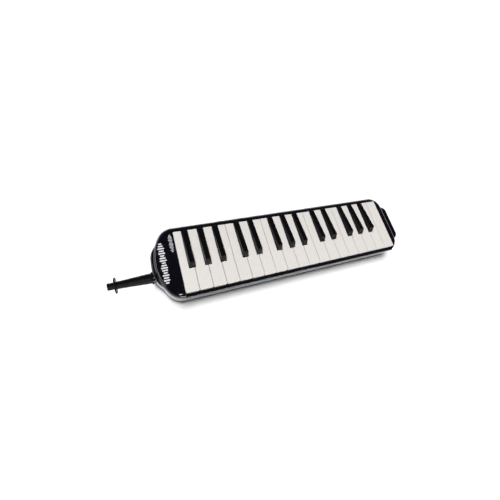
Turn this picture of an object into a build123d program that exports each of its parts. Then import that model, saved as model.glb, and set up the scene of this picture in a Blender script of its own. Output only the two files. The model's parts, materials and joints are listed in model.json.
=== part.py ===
from build123d import *
import os
from math import sqrt

# A melodica with 32 keys. Millimetres, +Z up, lying on its back on z = 0.
# The origin is under the middle of the whole length, mouthpiece tip to drain button.
# Along X most sizes are given from the left edge of the key field, through at().

# Key field
PITCH = 19.2
WHITE_COUNT = 19
KEYS_LONG = PITCH * WHITE_COUNT
KEY_GAP = 0.5
KEYS_FRONT = -45.6
KEYS_REAR = 42.9
KEY_TOP = 38.5
KEY_BOTTOM = 33.0
KEY_WALL = 1.5
KEY_CORNER = 1.7
KEY_EDGE = 0.5
KEY_ROOF = 36.3

# Black keys: the white boundary each one sits on in an octave from F, and its offset from it
BLACK_OFFSETS = {1: -3.0, 2: 0.25, 3: 3.3, 5: -1.5, 6: 1.8}
OCTAVE_WHITES = 7
BLACK_WIDE = 8.6
BLACK_FRONT = -12.6
BLACK_CREST_Y = -7.3
BLACK_CREST = 46.5
BLACK_REAR_TOP = 40.0
BLACK_CHAMFER = 0.8
BLACK_SIDE_GAP = 0.45
BLACK_FRONT_GAP = 0.8

# Overall length, and how far the mouthpiece reaches left of the keys
OVERALL = 486.0
MOUTH_REACH = 93.5
KEYS_X = -OVERALL / 2 + MOUTH_REACH

# Case
BODY_HALF = 51.7
PANEL_LEFT = 33.0
PANEL_RIGHT = 13.2
END_RADIUS = 73.0
LEFT_CORNER = 24.0
RIGHT_CORNER = 22.0
SHOULDER = 5.0
SEAM = 10.0
WALL = 2.2
TOP_WALL = 2.5
DRAFT = 6.0
BOTTOM_ROUND = 2.6
GROOVE = 0.5
GROOVE_TALL = 0.7
RAIL_TOP = 31.0
RAIL_EDGE = -46.4
RAIL_THICK = 2.0
RAIL_ROUND = 1.6
OPENING_GAP = 0.4
LEFT_CHEEK_HALF = 50.0
RIGHT_CHEEK_HALF = 47.0
LEFT_TAB_HALF = 38.0
LEFT_TAB_CORNER = 30.0
RIGHT_TAB_WIDE = 65.0
TAB_LEFT = 36.1
TAB_RIGHT = 25.2
TAB_DEEP = 40.0
TAB_CORNER = 11.0
TAB_TOP = 33.0
TAB_BOTTOM = 2.5
TAB_SHOULDER = 3.0

# Reed unit, from the bottom up: tray, gasket, plates, chassis cells, chassis deck
TRAY_Z = 14.0
TRAY_FLOOR = 1.5
GASKET_Z = 20.0
PLATE_Z = 20.6
CELL_Z = 21.6
DECK_Z = 26.0
DECK_TOP = 28.0
DECK_INSET = 2.8
BLOCK_LEFT = -6.0
BLOCK_RIGHT = 366.0
BLOCK_FRONT = -20.0
BLOCK_REAR = 47.0
BLOCK_ROUND = 3.0
END_WALL = 2.0
CELL_FRONT = -14.0
CELL_REAR = 43.0
CELL_WIDE = 8.0
PLATE_SPLIT = 178.6
SLOT_WIDE = 4.0
SLOT_FRONT, SLOT_REAR = 32.0, 41.0
REED_ROOT = 42.0
REED_THICK = 0.25
RIVET_Y = 40.0
RIVET_HEAD_R = 1.3
RIVET_HEAD_TALL = 0.3
RIVET_R = 0.8
RIVET_HOLE_R = 0.85
LONG_REED, SHORT_REED = 45.0, 15.0
UNIT_SCREWS = 7

# Pivot and levers
PIVOT_Y = 22.0
PIVOT_Z = 31.5
ROD_R = 1.25
BORE_R = 1.30
RIB_BOTTOM = 29.0
RIB_FRONT = 14.0
TAIL_FRONT = 30.0
TAIL_REAR = 45.0
TAIL_Z = 30.0
TAIL_FLOOR = 2.0
TAIL_TOP = 33.6
PAD_SIDE = 1.2
POST_WIDE = 4.0
POST_TOP = 34.5
POST_KEYS = (3, 7, 11, 15)
WHITE_FELT_FRONT, WHITE_FELT_REAR, WHITE_FELT_TOP = -39.3, -34.0, 29.4
BLACK_FELT_FRONT, BLACK_FELT_REAR, BLACK_FELT_TOP = -12.0, -6.5, 30.0

# Mouthpiece, inlet and drain
MOUTH_Y = -11.1
MOUTH_Z = 18.0
INLET_BOX_LEFT = -30.0
INLET_BOX_HALF = 9.0
INLET_BOX_LOW, INLET_BOX_HIGH = 10.2, 25.8
INLET_BOX_WALL = 1.5
RIM_R = 8.5
INLET_SEAL_R = 8.0
INLET_SEAL_X = -31.4
INLET_BOSS_DEEP = TAB_LEFT + INLET_SEAL_X
SOCKET_R = 6.2
PLUG_R = 4.95
DRAIN_Z = 17.75
DRAIN_STEM_R = 1.2
DRAIN_HOLE_R = 4.8
STEM_HOLE_R = 1.7
DRAIN_SEAL_R = 2.15

# Hand strap in the back
RECESS_LEFT, RECESS_RIGHT = 105.0, 265.0
RECESS_HALF = 38.0
RECESS_TOP = 11.5
STRAP_LEFT, STRAP_RIGHT = 84.0, 286.0
STRAP_WIDE = 26.0
STRAP_Z = 1.0
STRAP_THICK = 1.4
STUD_INSET, STUD_Y = 8.0, 7.0
STUD_R = 1.25
STUD_HOLE_R = 1.3
DRAIN_BUTTON_X = 385.8
DRAIN_SEAL_X = 361.8

# Screw bosses and holes
CASE_BOSS_R = 3.5
CASE_PILOT_R = 1.45
CASE_PILOT_DEEP = 14.0
DECK_BOSS_R = 3.0
DECK_PILOT_R = 1.25
DECK_PILOT_DEEP = 6.5
DECK_HOLE_R = 1.3
BOSS_CLEAR_R = 4.0
LOWER_BOSS_R = 4.4
HEAD_HOLE_R = 3.1
HEAD_HOLE_DEEP = 4.0
SHANK_HOLE_R = 1.6
UNIT_PILOT_R = 1.05
UNIT_CLEAR_R = 1.1
UNIT_HEAD_R = 1.65
UNIT_HEAD_DEEP = 1.7
PRESS_GAP = 0.05

# Screw places, from the left edge of the key field
CASE_SCREWS = [(-18, 26), (-18, -26), (370.5, 29), (370.5, -29)]
RAIL_SCREWS = [(60, -43.5), (150, -43.5), (215, -43.5), (305, -43.5)]
CHASSIS_SCREWS = [(-12, 36), (-12, -36), (371, 9), (371, -9)]


def at(distance):
    """X of a place so far to the right of the key field's left edge."""
    return KEYS_X + distance


def places(points):
    """The same points with X measured from the origin."""
    return [(at(x), y) for x, y in points]


def save(piece, name):
    """Label one finished piece and write it as its own STEP file."""
    piece.label = name
    export_step(piece, f"parts/{name}.step")


def block(x0, x1, y0, y1, z0, z1, mode=Mode.ADD):
    """A straight block between two corners, X measured from the key field."""
    middle = (at((x0 + x1) / 2), (y0 + y1) / 2, (z0 + z1) / 2)
    with Locations(middle):
        Box(x1 - x0, y1 - y0, z1 - z0, mode=mode)


def case_plan(inset):
    """The case from above: an arc at the left end, a straight right end, round corners."""
    left, right = at(-PANEL_LEFT), at(KEYS_LONG + PANEL_RIGHT)
    shoulder_x = left + END_RADIUS - sqrt(END_RADIUS**2 - BODY_HALF**2)
    with BuildSketch(mode=Mode.PRIVATE) as plan:
        with BuildLine():
            ThreePointArc((shoulder_x, BODY_HALF), (left, 0), (shoulder_x, -BODY_HALF))
            Polyline(
                (shoulder_x, -BODY_HALF),
                (right, -BODY_HALF),
                (right, BODY_HALF),
                (shoulder_x, BODY_HALF),
            )
        make_face()
        fillet(plan.vertices().group_by(Axis.X)[0], LEFT_CORNER)
        fillet(plan.vertices().group_by(Axis.X)[-1], RIGHT_CORNER)
        if inset:
            offset(amount=-inset, mode=Mode.REPLACE)
    return plan.sketch


def tab_plan(inset):
    """The rounded tabs that stand out of both ends of the case, from above."""
    left = at(-TAB_LEFT + TAB_DEEP / 2)
    right = at(KEYS_LONG + TAB_RIGHT - TAB_DEEP / 2)
    deep = TAB_DEEP - 2 * inset
    with BuildSketch(mode=Mode.PRIVATE) as plan:
        with Locations((left, 0)):
            Rectangle(deep, 2 * (LEFT_TAB_HALF - inset))
        fillet(plan.vertices().group_by(Axis.X)[0], LEFT_TAB_CORNER - inset)
        with Locations((right, 0)):
            RectangleRounded(deep, RIGHT_TAB_WIDE - 2 * inset, TAB_CORNER - inset)
    return plan.sketch


def block_plan(hollow):
    """The reed unit's outline, or if hollow the ring around its air space."""
    middle = (at((BLOCK_LEFT + BLOCK_RIGHT) / 2), (BLOCK_FRONT + BLOCK_REAR) / 2)
    inside = (at((BLOCK_LEFT + BLOCK_RIGHT) / 2), (CELL_FRONT + CELL_REAR) / 2)
    with BuildSketch(mode=Mode.PRIVATE) as plan:
        with Locations(middle):
            RectangleRounded(BLOCK_RIGHT - BLOCK_LEFT, BLOCK_REAR - BLOCK_FRONT, BLOCK_ROUND)
        if hollow:
            air = (BLOCK_RIGHT - BLOCK_LEFT - 2 * END_WALL, CELL_REAR - CELL_FRONT)
            with Locations(inside):
                Rectangle(*air, mode=Mode.SUBTRACT)
    return plan.sketch


def screw(head_r, head_tall, shank_r, length):
    """A pan-head screw with a cross slot, head down, its head's seat at z = 0."""
    slot = head_r * 0.35
    with BuildPart(mode=Mode.PRIVATE) as piece:
        Cylinder(head_r, head_tall, align=(Align.CENTER, Align.CENTER, Align.MAX))
        Cylinder(shank_r, length, align=(Align.CENTER, Align.CENTER, Align.MIN))
        fillet(piece.faces().sort_by(Axis.Z)[0].edges(), head_tall * 0.3)
        with Locations((0, 0, -head_tall)):
            Box(head_r * 1.2, slot, head_tall, mode=Mode.SUBTRACT)
            Box(slot, head_r * 1.2, head_tall, mode=Mode.SUBTRACT)
    return piece.part


def inlet_plane():
    """A plane along the mouthpiece's axis, with X along it and Y as the radius."""
    return Plane(origin=(0, MOUTH_Y, MOUTH_Z), x_dir=(1, 0, 0), z_dir=(0, -1, 0))


INLET_AXIS = Axis((0, MOUTH_Y, MOUTH_Z), (1, 0, 0))
DRAIN_AXIS = Axis((0, 0, DRAIN_Z), (1, 0, 0))
DRAIN_PLANE = Plane(origin=(0, 0, DRAIN_Z), x_dir=(1, 0, 0), z_dir=(0, -1, 0))

CASE_OUTER, CASE_INNER = case_plan(0), case_plan(WALL)
TABS_OUTER, TABS_INNER = tab_plan(0), tab_plan(WALL)
DECK_PLAN = case_plan(DECK_INSET)
BLOCK_SOLID, BLOCK_RING = block_plan(False), block_plan(True)


# Where each black key stands, and each key's lever
def black_centres():
    """Boundary number to X of the black key's middle, from the key field's left edge."""
    found = {}
    for boundary in range(1, WHITE_COUNT):
        step = boundary % OCTAVE_WHITES
        if step in BLACK_OFFSETS:
            found[boundary] = boundary * PITCH + BLACK_OFFSETS[step]
    return found


BLACKS = black_centres()


def neck_of(white):
    """Left and right X of a white key where it runs back between black keys."""
    reach = BLACK_WIDE / 2 + BLACK_SIDE_GAP
    left, right = white * PITCH + KEY_GAP / 2, (white + 1) * PITCH - KEY_GAP / 2
    if white in BLACKS:
        left = BLACKS[white] + reach
    if white + 1 in BLACKS:
        right = BLACKS[white + 1] - reach
    return left, right


def key_order():
    """Every key from left to right: its kind, its number and the edges of its lever."""
    keys = []
    for white in range(WHITE_COUNT):
        if white in BLACKS:
            middle = BLACKS[white]
            keys.append(("black", white, middle - BLACK_WIDE / 2, middle + BLACK_WIDE / 2))
        keys.append(("white", white, *neck_of(white)))
    return keys


KEYS = key_order()
LEVER_MIDDLES = [(left + right) / 2 for _, _, left, right in KEYS]


def reed_size(index):
    """Length and width of one reed: long and wide at the left, short and narrow right."""
    share = index / (len(KEYS) - 1)
    return LONG_REED + (SHORT_REED - LONG_REED) * share, 3.2 - 1.2 * share


def unit_screw_points():
    """The two rows of screws that clamp tray, plates and chassis."""
    first, last = 2.0, 358.0
    step = (last - first) / (UNIT_SCREWS - 1)
    rows = ((BLOCK_FRONT + CELL_FRONT) / 2, (CELL_REAR + BLOCK_REAR) / 2)
    return [(first + step * i, y) for y in rows for i in range(UNIT_SCREWS)]


UNIT_POINTS = unit_screw_points()
os.makedirs("parts", exist_ok=True)

# Upper case: end panels, rear strip and front rail around the key field, tabs at the ends
with BuildPart() as upper_case:
    with BuildSketch(Plane.XY.offset(SEAM)):
        add(TABS_OUTER)
    extrude(amount=TAB_TOP - SEAM)
    fillet(upper_case.faces().group_by(Axis.Z)[-1].edges(), TAB_SHOULDER)
    with BuildSketch(Plane.XY.offset(SEAM)):
        add(CASE_OUTER)
    extrude(amount=KEY_TOP - SEAM)
    fillet(upper_case.faces().sort_by(Axis.Z)[-1].edges(), SHOULDER)
    with BuildSketch(Plane.XY.offset(SEAM)):
        add(CASE_INNER)
    extrude(amount=KEY_TOP - TOP_WALL - SEAM, mode=Mode.SUBTRACT)
    with BuildSketch(Plane.XY.offset(SEAM)):
        add(TABS_INNER)
    extrude(amount=TAB_TOP - WALL - SEAM, mode=Mode.SUBTRACT)
    # the key field's opening, and the rail in front of it cut down
    side = (-OPENING_GAP, KEYS_LONG + OPENING_GAP)
    block(*side, RAIL_EDGE, KEYS_REAR + OPENING_GAP, SEAM, KEY_TOP + 1, mode=Mode.SUBTRACT)
    block(side[0] - 1, side[1] + 1, -BODY_HALF + 1, RAIL_EDGE, RAIL_TOP - RAIL_THICK, RAIL_TOP)
    with BuildSketch(Plane.YZ.offset(at(side[0]))):
        with BuildLine():
            arc_start = (-BODY_HALF + RAIL_ROUND, RAIL_TOP)
            Polyline(arc_start, (RAIL_EDGE, RAIL_TOP), (RAIL_EDGE, KEY_TOP + 1))
            Polyline((RAIL_EDGE, KEY_TOP + 1), (-BODY_HALF - 1, KEY_TOP + 1))
            Polyline((-BODY_HALF - 1, KEY_TOP + 1), (-BODY_HALF - 1, RAIL_TOP - RAIL_ROUND))
            Line((-BODY_HALF - 1, RAIL_TOP - RAIL_ROUND), (-BODY_HALF, RAIL_TOP - RAIL_ROUND))
            RadiusArc((-BODY_HALF, RAIL_TOP - RAIL_ROUND), arc_start, RAIL_ROUND)
        make_face()
    extrude(amount=side[1] - side[0], mode=Mode.SUBTRACT)
    # cheeks beside the outermost keys, notched for the pivot rod
    left_cheek = (side[0] - END_WALL, side[0], -LEFT_CHEEK_HALF, LEFT_CHEEK_HALF)
    right_cheek = (side[1], side[1] + END_WALL, -RIGHT_CHEEK_HALF, RIGHT_CHEEK_HALF)
    for cheek in (left_cheek, right_cheek):
        block(*cheek, DECK_TOP + 0.2, KEY_TOP - 1.5)
        block(*cheek[:2], PIVOT_Y - 2, PIVOT_Y + 2, DECK_TOP, PIVOT_Z + 2, mode=Mode.SUBTRACT)
    # screw bosses down to the seam, and short ones down to the chassis deck
    with BuildSketch(Plane.XY.offset(SEAM)):
        with Locations(*places(CASE_SCREWS)):
            Circle(CASE_BOSS_R)
    extrude(amount=KEY_TOP - TOP_WALL - SEAM)
    with BuildSketch(Plane.XY.offset(SEAM)):
        with Locations(*places(RAIL_SCREWS)):
            Circle(CASE_BOSS_R)
    extrude(amount=RAIL_TOP - RAIL_THICK - SEAM)
    with BuildSketch(Plane.XY.offset(DECK_TOP)):
        with Locations(*places(CHASSIS_SCREWS)):
            Circle(DECK_BOSS_R)
    extrude(amount=KEY_TOP - TOP_WALL - DECK_TOP)
    with BuildSketch(Plane.XY.offset(SEAM)):
        with Locations(*places(CASE_SCREWS + RAIL_SCREWS)):
            Circle(CASE_PILOT_R)
    extrude(amount=CASE_PILOT_DEEP, mode=Mode.SUBTRACT)
    with BuildSketch(Plane.XY.offset(DECK_TOP)):
        with Locations(*places(CHASSIS_SCREWS)):
            Circle(DECK_PILOT_R)
    extrude(amount=DECK_PILOT_DEEP, mode=Mode.SUBTRACT)
    # a flat boss for the inlet socket at the left, its hole, and the drain button's hole
    with BuildSketch(Plane.YZ.offset(at(-TAB_LEFT))):
        with Locations((MOUTH_Y, MOUTH_Z)):
            Circle(RIM_R)
        with Locations((MOUTH_Y, SEAM + RIM_R + 1)):
            Rectangle(2 * RIM_R, 2 * RIM_R + 2, mode=Mode.INTERSECT)
    extrude(amount=INLET_BOSS_DEEP)
    with BuildSketch(Plane.YZ.offset(at(-TAB_LEFT))):
        with Locations((MOUTH_Y, MOUTH_Z)):
            Circle(SOCKET_R + PRESS_GAP)
    extrude(amount=INLET_BOSS_DEEP, mode=Mode.SUBTRACT)
    with BuildSketch(Plane.YZ.offset(at(KEYS_LONG + TAB_RIGHT - WALL - 1))):
        with Locations((0, DRAIN_Z)):
            Circle(DRAIN_HOLE_R)
    extrude(amount=WALL + 2, mode=Mode.SUBTRACT)
save(upper_case.part, "upper_case")

# Lower case: a shallow drafted pan with a recess for the hand under the strap
with BuildPart() as lower_case:
    with BuildSketch(Plane.XY.offset(SEAM)):
        add(TABS_OUTER)
    extrude(amount=-(SEAM - TAB_BOTTOM), taper=DRAFT)
    fillet(lower_case.faces().group_by(Axis.Z)[0].edges(), BOTTOM_ROUND)
    with BuildSketch(Plane.XY.offset(SEAM)):
        add(CASE_OUTER)
    extrude(amount=-SEAM, taper=DRAFT)
    fillet(lower_case.faces().sort_by(Axis.Z)[0].edges(), BOTTOM_ROUND)
    with BuildSketch(Plane.XY.offset(SEAM)):
        add(CASE_INNER)
    extrude(amount=-(SEAM - WALL), taper=DRAFT, mode=Mode.SUBTRACT)
    with BuildSketch(Plane.XY.offset(SEAM)):
        add(TABS_INNER)
    extrude(amount=-(SEAM - TAB_BOTTOM - WALL), taper=DRAFT, mode=Mode.SUBTRACT)
    # the rim stands back a little, so a fine dark line runs round the seam
    with BuildSketch(Plane.XY.offset(SEAM)):
        add(CASE_OUTER)
        add(TABS_OUTER)
        offset(amount=1, mode=Mode.REPLACE)
        add(case_plan(GROOVE), mode=Mode.SUBTRACT)
        add(tab_plan(GROOVE), mode=Mode.SUBTRACT)
    extrude(amount=-GROOVE_TALL, mode=Mode.SUBTRACT)
    # hand recess and the flat channel that the strap's ends lie in
    recess = (at((RECESS_LEFT + RECESS_RIGHT) / 2), 0)
    with BuildSketch(Plane.XY):
        with Locations(recess):
            RectangleRounded(RECESS_RIGHT - RECESS_LEFT + 4, 2 * RECESS_HALF + 4, 12)
    extrude(amount=RECESS_TOP + 2)
    block(80, 290, -STRAP_WIDE / 2 - 2, STRAP_WIDE / 2 + 2, WALL, 4.4)
    with BuildSketch(Plane.XY):
        with Locations(recess):
            RectangleRounded(RECESS_RIGHT - RECESS_LEFT, 2 * RECESS_HALF, 10)
    extrude(amount=RECESS_TOP, mode=Mode.SUBTRACT)
    channel = (STRAP_LEFT - 1, STRAP_RIGHT + 1, -STRAP_WIDE / 2 - 0.5, STRAP_WIDE / 2 + 0.5)
    block(*channel, 0, STRAP_Z + STRAP_THICK, mode=Mode.SUBTRACT)
    # bosses for the case screws, counterbored from below
    with BuildSketch(Plane.XY.offset(WALL)):
        with Locations(*places(CASE_SCREWS + RAIL_SCREWS)):
            Circle(LOWER_BOSS_R)
    extrude(amount=SEAM - WALL)
    with BuildSketch(Plane.XY):
        with Locations(*places(CASE_SCREWS + RAIL_SCREWS)):
            Circle(HEAD_HOLE_R)
    extrude(amount=HEAD_HOLE_DEEP, mode=Mode.SUBTRACT)
    with BuildSketch(Plane.XY):
        with Locations(*places(CASE_SCREWS + RAIL_SCREWS)):
            Circle(SHANK_HOLE_R)
    extrude(amount=SEAM, mode=Mode.SUBTRACT)
    # holes for the studs of the strap anchors
    with BuildSketch(Plane.XY):
        for end in (STRAP_LEFT + STUD_INSET, STRAP_RIGHT - STUD_INSET):
            with Locations((at(end), -STUD_Y), (at(end), STUD_Y)):
                Circle(STUD_HOLE_R)
    extrude(amount=6, mode=Mode.SUBTRACT)
save(lower_case.part, "lower_case")

# Chassis: a deck with a row of reed cells under it and posts for the pivot rod on it
with BuildPart() as chassis:
    with BuildSketch(Plane.XY.offset(DECK_Z)):
        add(DECK_PLAN)
    extrude(amount=DECK_TOP - DECK_Z)
    with BuildSketch(Plane.XY.offset(CELL_Z)):
        add(BLOCK_SOLID)
    extrude(amount=DECK_Z - CELL_Z)
    with BuildSketch(Plane.XY.offset(CELL_Z)):
        with Locations(*[(at(x), (CELL_FRONT + CELL_REAR) / 2) for x in LEVER_MIDDLES]):
            Rectangle(CELL_WIDE, CELL_REAR - CELL_FRONT)
    extrude(amount=DECK_Z - CELL_Z, mode=Mode.SUBTRACT)
    with BuildSketch(Plane.XY.offset(DECK_Z)):
        with Locations(*[(at(x), (SLOT_FRONT + SLOT_REAR) / 2) for x in LEVER_MIDDLES]):
            Rectangle(SLOT_WIDE, SLOT_REAR - SLOT_FRONT)
        with Locations(*places(CASE_SCREWS + RAIL_SCREWS)):
            Circle(BOSS_CLEAR_R)
        with Locations(*places(CHASSIS_SCREWS)):
            Circle(DECK_HOLE_R)
    extrude(amount=DECK_TOP - DECK_Z, mode=Mode.SUBTRACT)
    with BuildSketch(Plane.XY.offset(CELL_Z)):
        with Locations(*places(UNIT_POINTS)):
            Circle(UNIT_PILOT_R)
    extrude(amount=4, mode=Mode.SUBTRACT)
    middles = [sum(neck_of(white)) / 2 for white in POST_KEYS]
    posts = [(x - POST_WIDE / 2, x + POST_WIDE / 2) for x in middles]
    for post in [(-6.4, -2.8), *posts, (367.6, 371.2)]:
        block(*post, PIVOT_Y - 3, PIVOT_Y + 3, DECK_TOP, POST_TOP)
    with BuildSketch(Plane.YZ.offset(at(-10))):
        with Locations((PIVOT_Y, PIVOT_Z)):
            Circle(BORE_R)
    extrude(amount=KEYS_LONG + 20, mode=Mode.SUBTRACT)
save(chassis.part, "chassis")

# Chamber tray: the air space under the reeds, with the inlet box at its left end
with BuildPart() as chamber_tray:
    with BuildSketch(Plane.XY.offset(TRAY_Z)):
        add(BLOCK_SOLID)
    extrude(amount=GASKET_Z - TRAY_Z)
    air = (BLOCK_LEFT + END_WALL, BLOCK_RIGHT - END_WALL, CELL_FRONT, CELL_REAR)
    block(*air, TRAY_Z + TRAY_FLOOR, GASKET_Z, mode=Mode.SUBTRACT)
    sides = (MOUTH_Y - INLET_BOX_HALF, MOUTH_Y + INLET_BOX_HALF)
    block(INLET_BOX_LEFT, BLOCK_LEFT, *sides, INLET_BOX_LOW, INLET_BOX_HIGH)
    space = (INLET_BOX_LEFT + END_WALL, BLOCK_LEFT - END_WALL)
    space += (sides[0] + INLET_BOX_WALL, sides[1] - INLET_BOX_WALL)
    space += (INLET_BOX_LOW + INLET_BOX_WALL, INLET_BOX_HIGH - INLET_BOX_WALL)
    block(*space, mode=Mode.SUBTRACT)
    block(-9, BLOCK_LEFT + 3, CELL_FRONT + 0.5, -4, TRAY_Z + TRAY_FLOOR, 18.5, mode=Mode.SUBTRACT)
    with BuildSketch(Plane.YZ.offset(at(INLET_BOX_LEFT - 1))):
        with Locations((MOUTH_Y, MOUTH_Z)):
            Circle(SOCKET_R + PRESS_GAP)
    extrude(amount=4, mode=Mode.SUBTRACT)
    with BuildSketch(Plane.YZ.offset(at(BLOCK_RIGHT - 3))):
        with Locations((0, DRAIN_Z)):
            Circle(STEM_HOLE_R)
    extrude(amount=4, mode=Mode.SUBTRACT)
    with BuildSketch(Plane.XY.offset(TRAY_Z)):
        with Locations(*places(UNIT_POINTS)):
            Circle(UNIT_HEAD_R)
    extrude(amount=UNIT_HEAD_DEEP, mode=Mode.SUBTRACT)
    with BuildSketch(Plane.XY.offset(TRAY_Z)):
        with Locations(*places(UNIT_POINTS)):
            Circle(UNIT_PILOT_R)
    extrude(amount=GASKET_Z - TRAY_Z, mode=Mode.SUBTRACT)
save(chamber_tray.part, "chamber_tray")

with BuildPart() as chamber_gasket:
    with BuildSketch(Plane.XY.offset(GASKET_Z)):
        add(BLOCK_RING)
        with Locations(*places(UNIT_POINTS)):
            Circle(UNIT_CLEAR_R, mode=Mode.SUBTRACT)
    extrude(amount=PLATE_Z - GASKET_Z)
save(chamber_gasket.part, "chamber_gasket")


def reed_plate(name, first, last, x0, x1):
    """One brass plate with a slot and a rivet hole for each of its reeds."""
    with BuildPart() as plate:
        with BuildSketch(Plane.XY.offset(PLATE_Z)):
            add(BLOCK_SOLID)
            with Locations((at((x0 + x1) / 2), 0)):
                Rectangle(x1 - x0, 4 * BODY_HALF, mode=Mode.INTERSECT)
            for index in range(first, last):
                length, width = reed_size(index)
                slot_rear = RIVET_Y - 2.5
                slot_front = REED_ROOT - length - 0.2
                middle = at(LEVER_MIDDLES[index])
                with Locations((middle, (slot_rear + slot_front) / 2)):
                    Rectangle(width + 0.3, slot_rear - slot_front, mode=Mode.SUBTRACT)
                with Locations((middle, RIVET_Y)):
                    Circle(RIVET_HOLE_R, mode=Mode.SUBTRACT)
            with Locations(*places(UNIT_POINTS)):
                Circle(UNIT_CLEAR_R, mode=Mode.SUBTRACT)
        extrude(amount=CELL_Z - PLATE_Z)
    save(plate.part, name)


def reeds(name, first, last):
    """The brass reeds of one plate, on its chamber side, each with a wider root."""
    with BuildPart() as strips:
        with BuildSketch(Plane.XY.offset(PLATE_Z - REED_THICK)):
            for index in range(first, last):
                length, width = reed_size(index)
                middle = at(LEVER_MIDDLES[index])
                with Locations((middle, REED_ROOT - length / 2)):
                    Rectangle(width, length)
                with Locations((middle, RIVET_Y)):
                    Rectangle(4.2, 2 * (REED_ROOT - RIVET_Y))
                    Circle(RIVET_HOLE_R, mode=Mode.SUBTRACT)
        extrude(amount=REED_THICK)
    save(strips.part, name)


HALF = len(KEYS) // 2
reed_plate("reed_plate_low", 0, HALF, BLOCK_LEFT, PLATE_SPLIT - 0.15)
reed_plate("reed_plate_high", HALF, len(KEYS), PLATE_SPLIT + 0.15, BLOCK_RIGHT)
reeds("reeds_low", 0, HALF)
reeds("reeds_high", HALF, len(KEYS))

RIVETS = [(at(x), RIVET_Y) for x in LEVER_MIDDLES]
with BuildPart() as reed_rivets:
    with BuildSketch(Plane.XY.offset(PLATE_Z - REED_THICK - RIVET_HEAD_TALL)):
        with Locations(*RIVETS):
            Circle(RIVET_HEAD_R)
    extrude(amount=RIVET_HEAD_TALL)
    with BuildSketch(Plane.XY.offset(PLATE_Z - REED_THICK)):
        with Locations(*RIVETS):
            Circle(RIVET_R)
    extrude(amount=CELL_Z - PLATE_Z + REED_THICK)
    with BuildSketch(Plane.XY.offset(CELL_Z)):
        with Locations(*RIVETS):
            Circle(RIVET_HEAD_R)
    extrude(amount=RIVET_HEAD_TALL)
save(reed_rivets.part, "reed_rivets")

# Screws, all driven from below
UNIT_SCREW = screw(1.5, 1.4, 1.0, 9.0)
CHASSIS_SCREW = screw(2.4, 1.8, 1.2, 8.0)
CASE_SCREW = screw(2.8, 2.4, 1.4, 18.0)

with BuildPart() as reed_unit_screws:
    with Locations(*[(x, y, TRAY_Z + UNIT_HEAD_DEEP) for x, y in places(UNIT_POINTS)]):
        add(UNIT_SCREW)
save(reed_unit_screws.part, "reed_unit_screws")

with BuildPart() as chassis_screws:
    with Locations(*[(x, y, DECK_Z) for x, y in places(CHASSIS_SCREWS)]):
        add(CHASSIS_SCREW)
save(chassis_screws.part, "chassis_screws")

with BuildPart() as case_screws:
    with Locations(*[(x, y, HEAD_HOLE_DEEP) for x, y in places(CASE_SCREWS + RAIL_SCREWS)]):
        add(CASE_SCREW)
save(case_screws.part, "case_screws")

# Pivot rod, stop felts and the leaf spring under each key
with BuildPart() as key_pivot_rod:
    with BuildSketch(Plane.YZ.offset(at(-6))):
        with Locations((PIVOT_Y, PIVOT_Z)):
            Circle(ROD_R)
    extrude(amount=376.8)
save(key_pivot_rod.part, "key_pivot_rod")

with BuildPart() as white_key_felt:
    block(1, KEYS_LONG - 1, WHITE_FELT_FRONT, WHITE_FELT_REAR, DECK_TOP, WHITE_FELT_TOP)
save(white_key_felt.part, "white_key_felt")

with BuildPart() as black_key_felt:
    block(10, KEYS_LONG - 30, BLACK_FELT_FRONT, BLACK_FELT_REAR, DECK_TOP, BLACK_FELT_TOP)
save(black_key_felt.part, "black_key_felt")

with BuildPart(mode=Mode.PRIVATE) as leaf:
    with BuildSketch(Plane.YZ.offset(-1.5)):
        with BuildLine():
            Polyline(
                (-4, DECK_TOP),
                (12, DECK_TOP),
                (12, DECK_TOP + 0.3),
                (-3.3, DECK_TOP + 0.3),
                (8.4, KEY_ROOF - 0.3),
                (11, KEY_ROOF - 0.3),
                (11, KEY_ROOF),
                (8.2, KEY_ROOF),
                (-4, DECK_TOP + 0.2),
                close=True,
            )
        make_face()
    extrude(amount=3)

with BuildPart() as key_springs:
    with Locations(*[(at(x), 0, 0) for x in LEVER_MIDDLES]):
        add(leaf.part)
save(key_springs.part, "key_springs")


def spread(x0, x1, y0, y1):
    """A rectangle between two corners in the current sketch, X from the key field."""
    with Locations((at((x0 + x1) / 2), (y0 + y1) / 2)):
        Rectangle(x1 - x0, y1 - y0)


def lever_solid(left, right):
    """The block around the pivot and the tail over the valve slot, before hollowing."""
    with BuildPart() as lever:
        block(left, right, RIB_FRONT, TAIL_FRONT, RIB_BOTTOM, TAIL_TOP)
        block(left, right, TAIL_FRONT, TAIL_REAR, TAIL_Z, TAIL_TOP)
    return lever.part


def lever_hollow(left, right):
    """What is taken out of a lever: the gap between its ribs, its tail and its bore."""
    x0, x1 = left + KEY_WALL, right - KEY_WALL
    with BuildPart() as hollow:
        block(x0, x1, RIB_FRONT, TAIL_FRONT, RIB_BOTTOM, KEY_ROOF)
        block(x0, x1, TAIL_FRONT, TAIL_REAR - KEY_WALL, TAIL_Z + TAIL_FLOOR, TAIL_TOP)
        with BuildSketch(Plane.YZ.offset(at(left - 1))):
            with Locations((PIVOT_Y, PIVOT_Z)):
                Circle(BORE_R)
        extrude(amount=right - left + 2)
    return hollow.part


def valve_pad(left, right):
    """The soft pad under a key's tail that closes its slot in the chassis deck."""
    with BuildPart() as pad:
        block(left + PAD_SIDE, right - PAD_SIDE, SLOT_FRONT - 1.2, SLOT_REAR + 1.8, DECK_TOP, TAIL_Z)
    return pad.part


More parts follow.
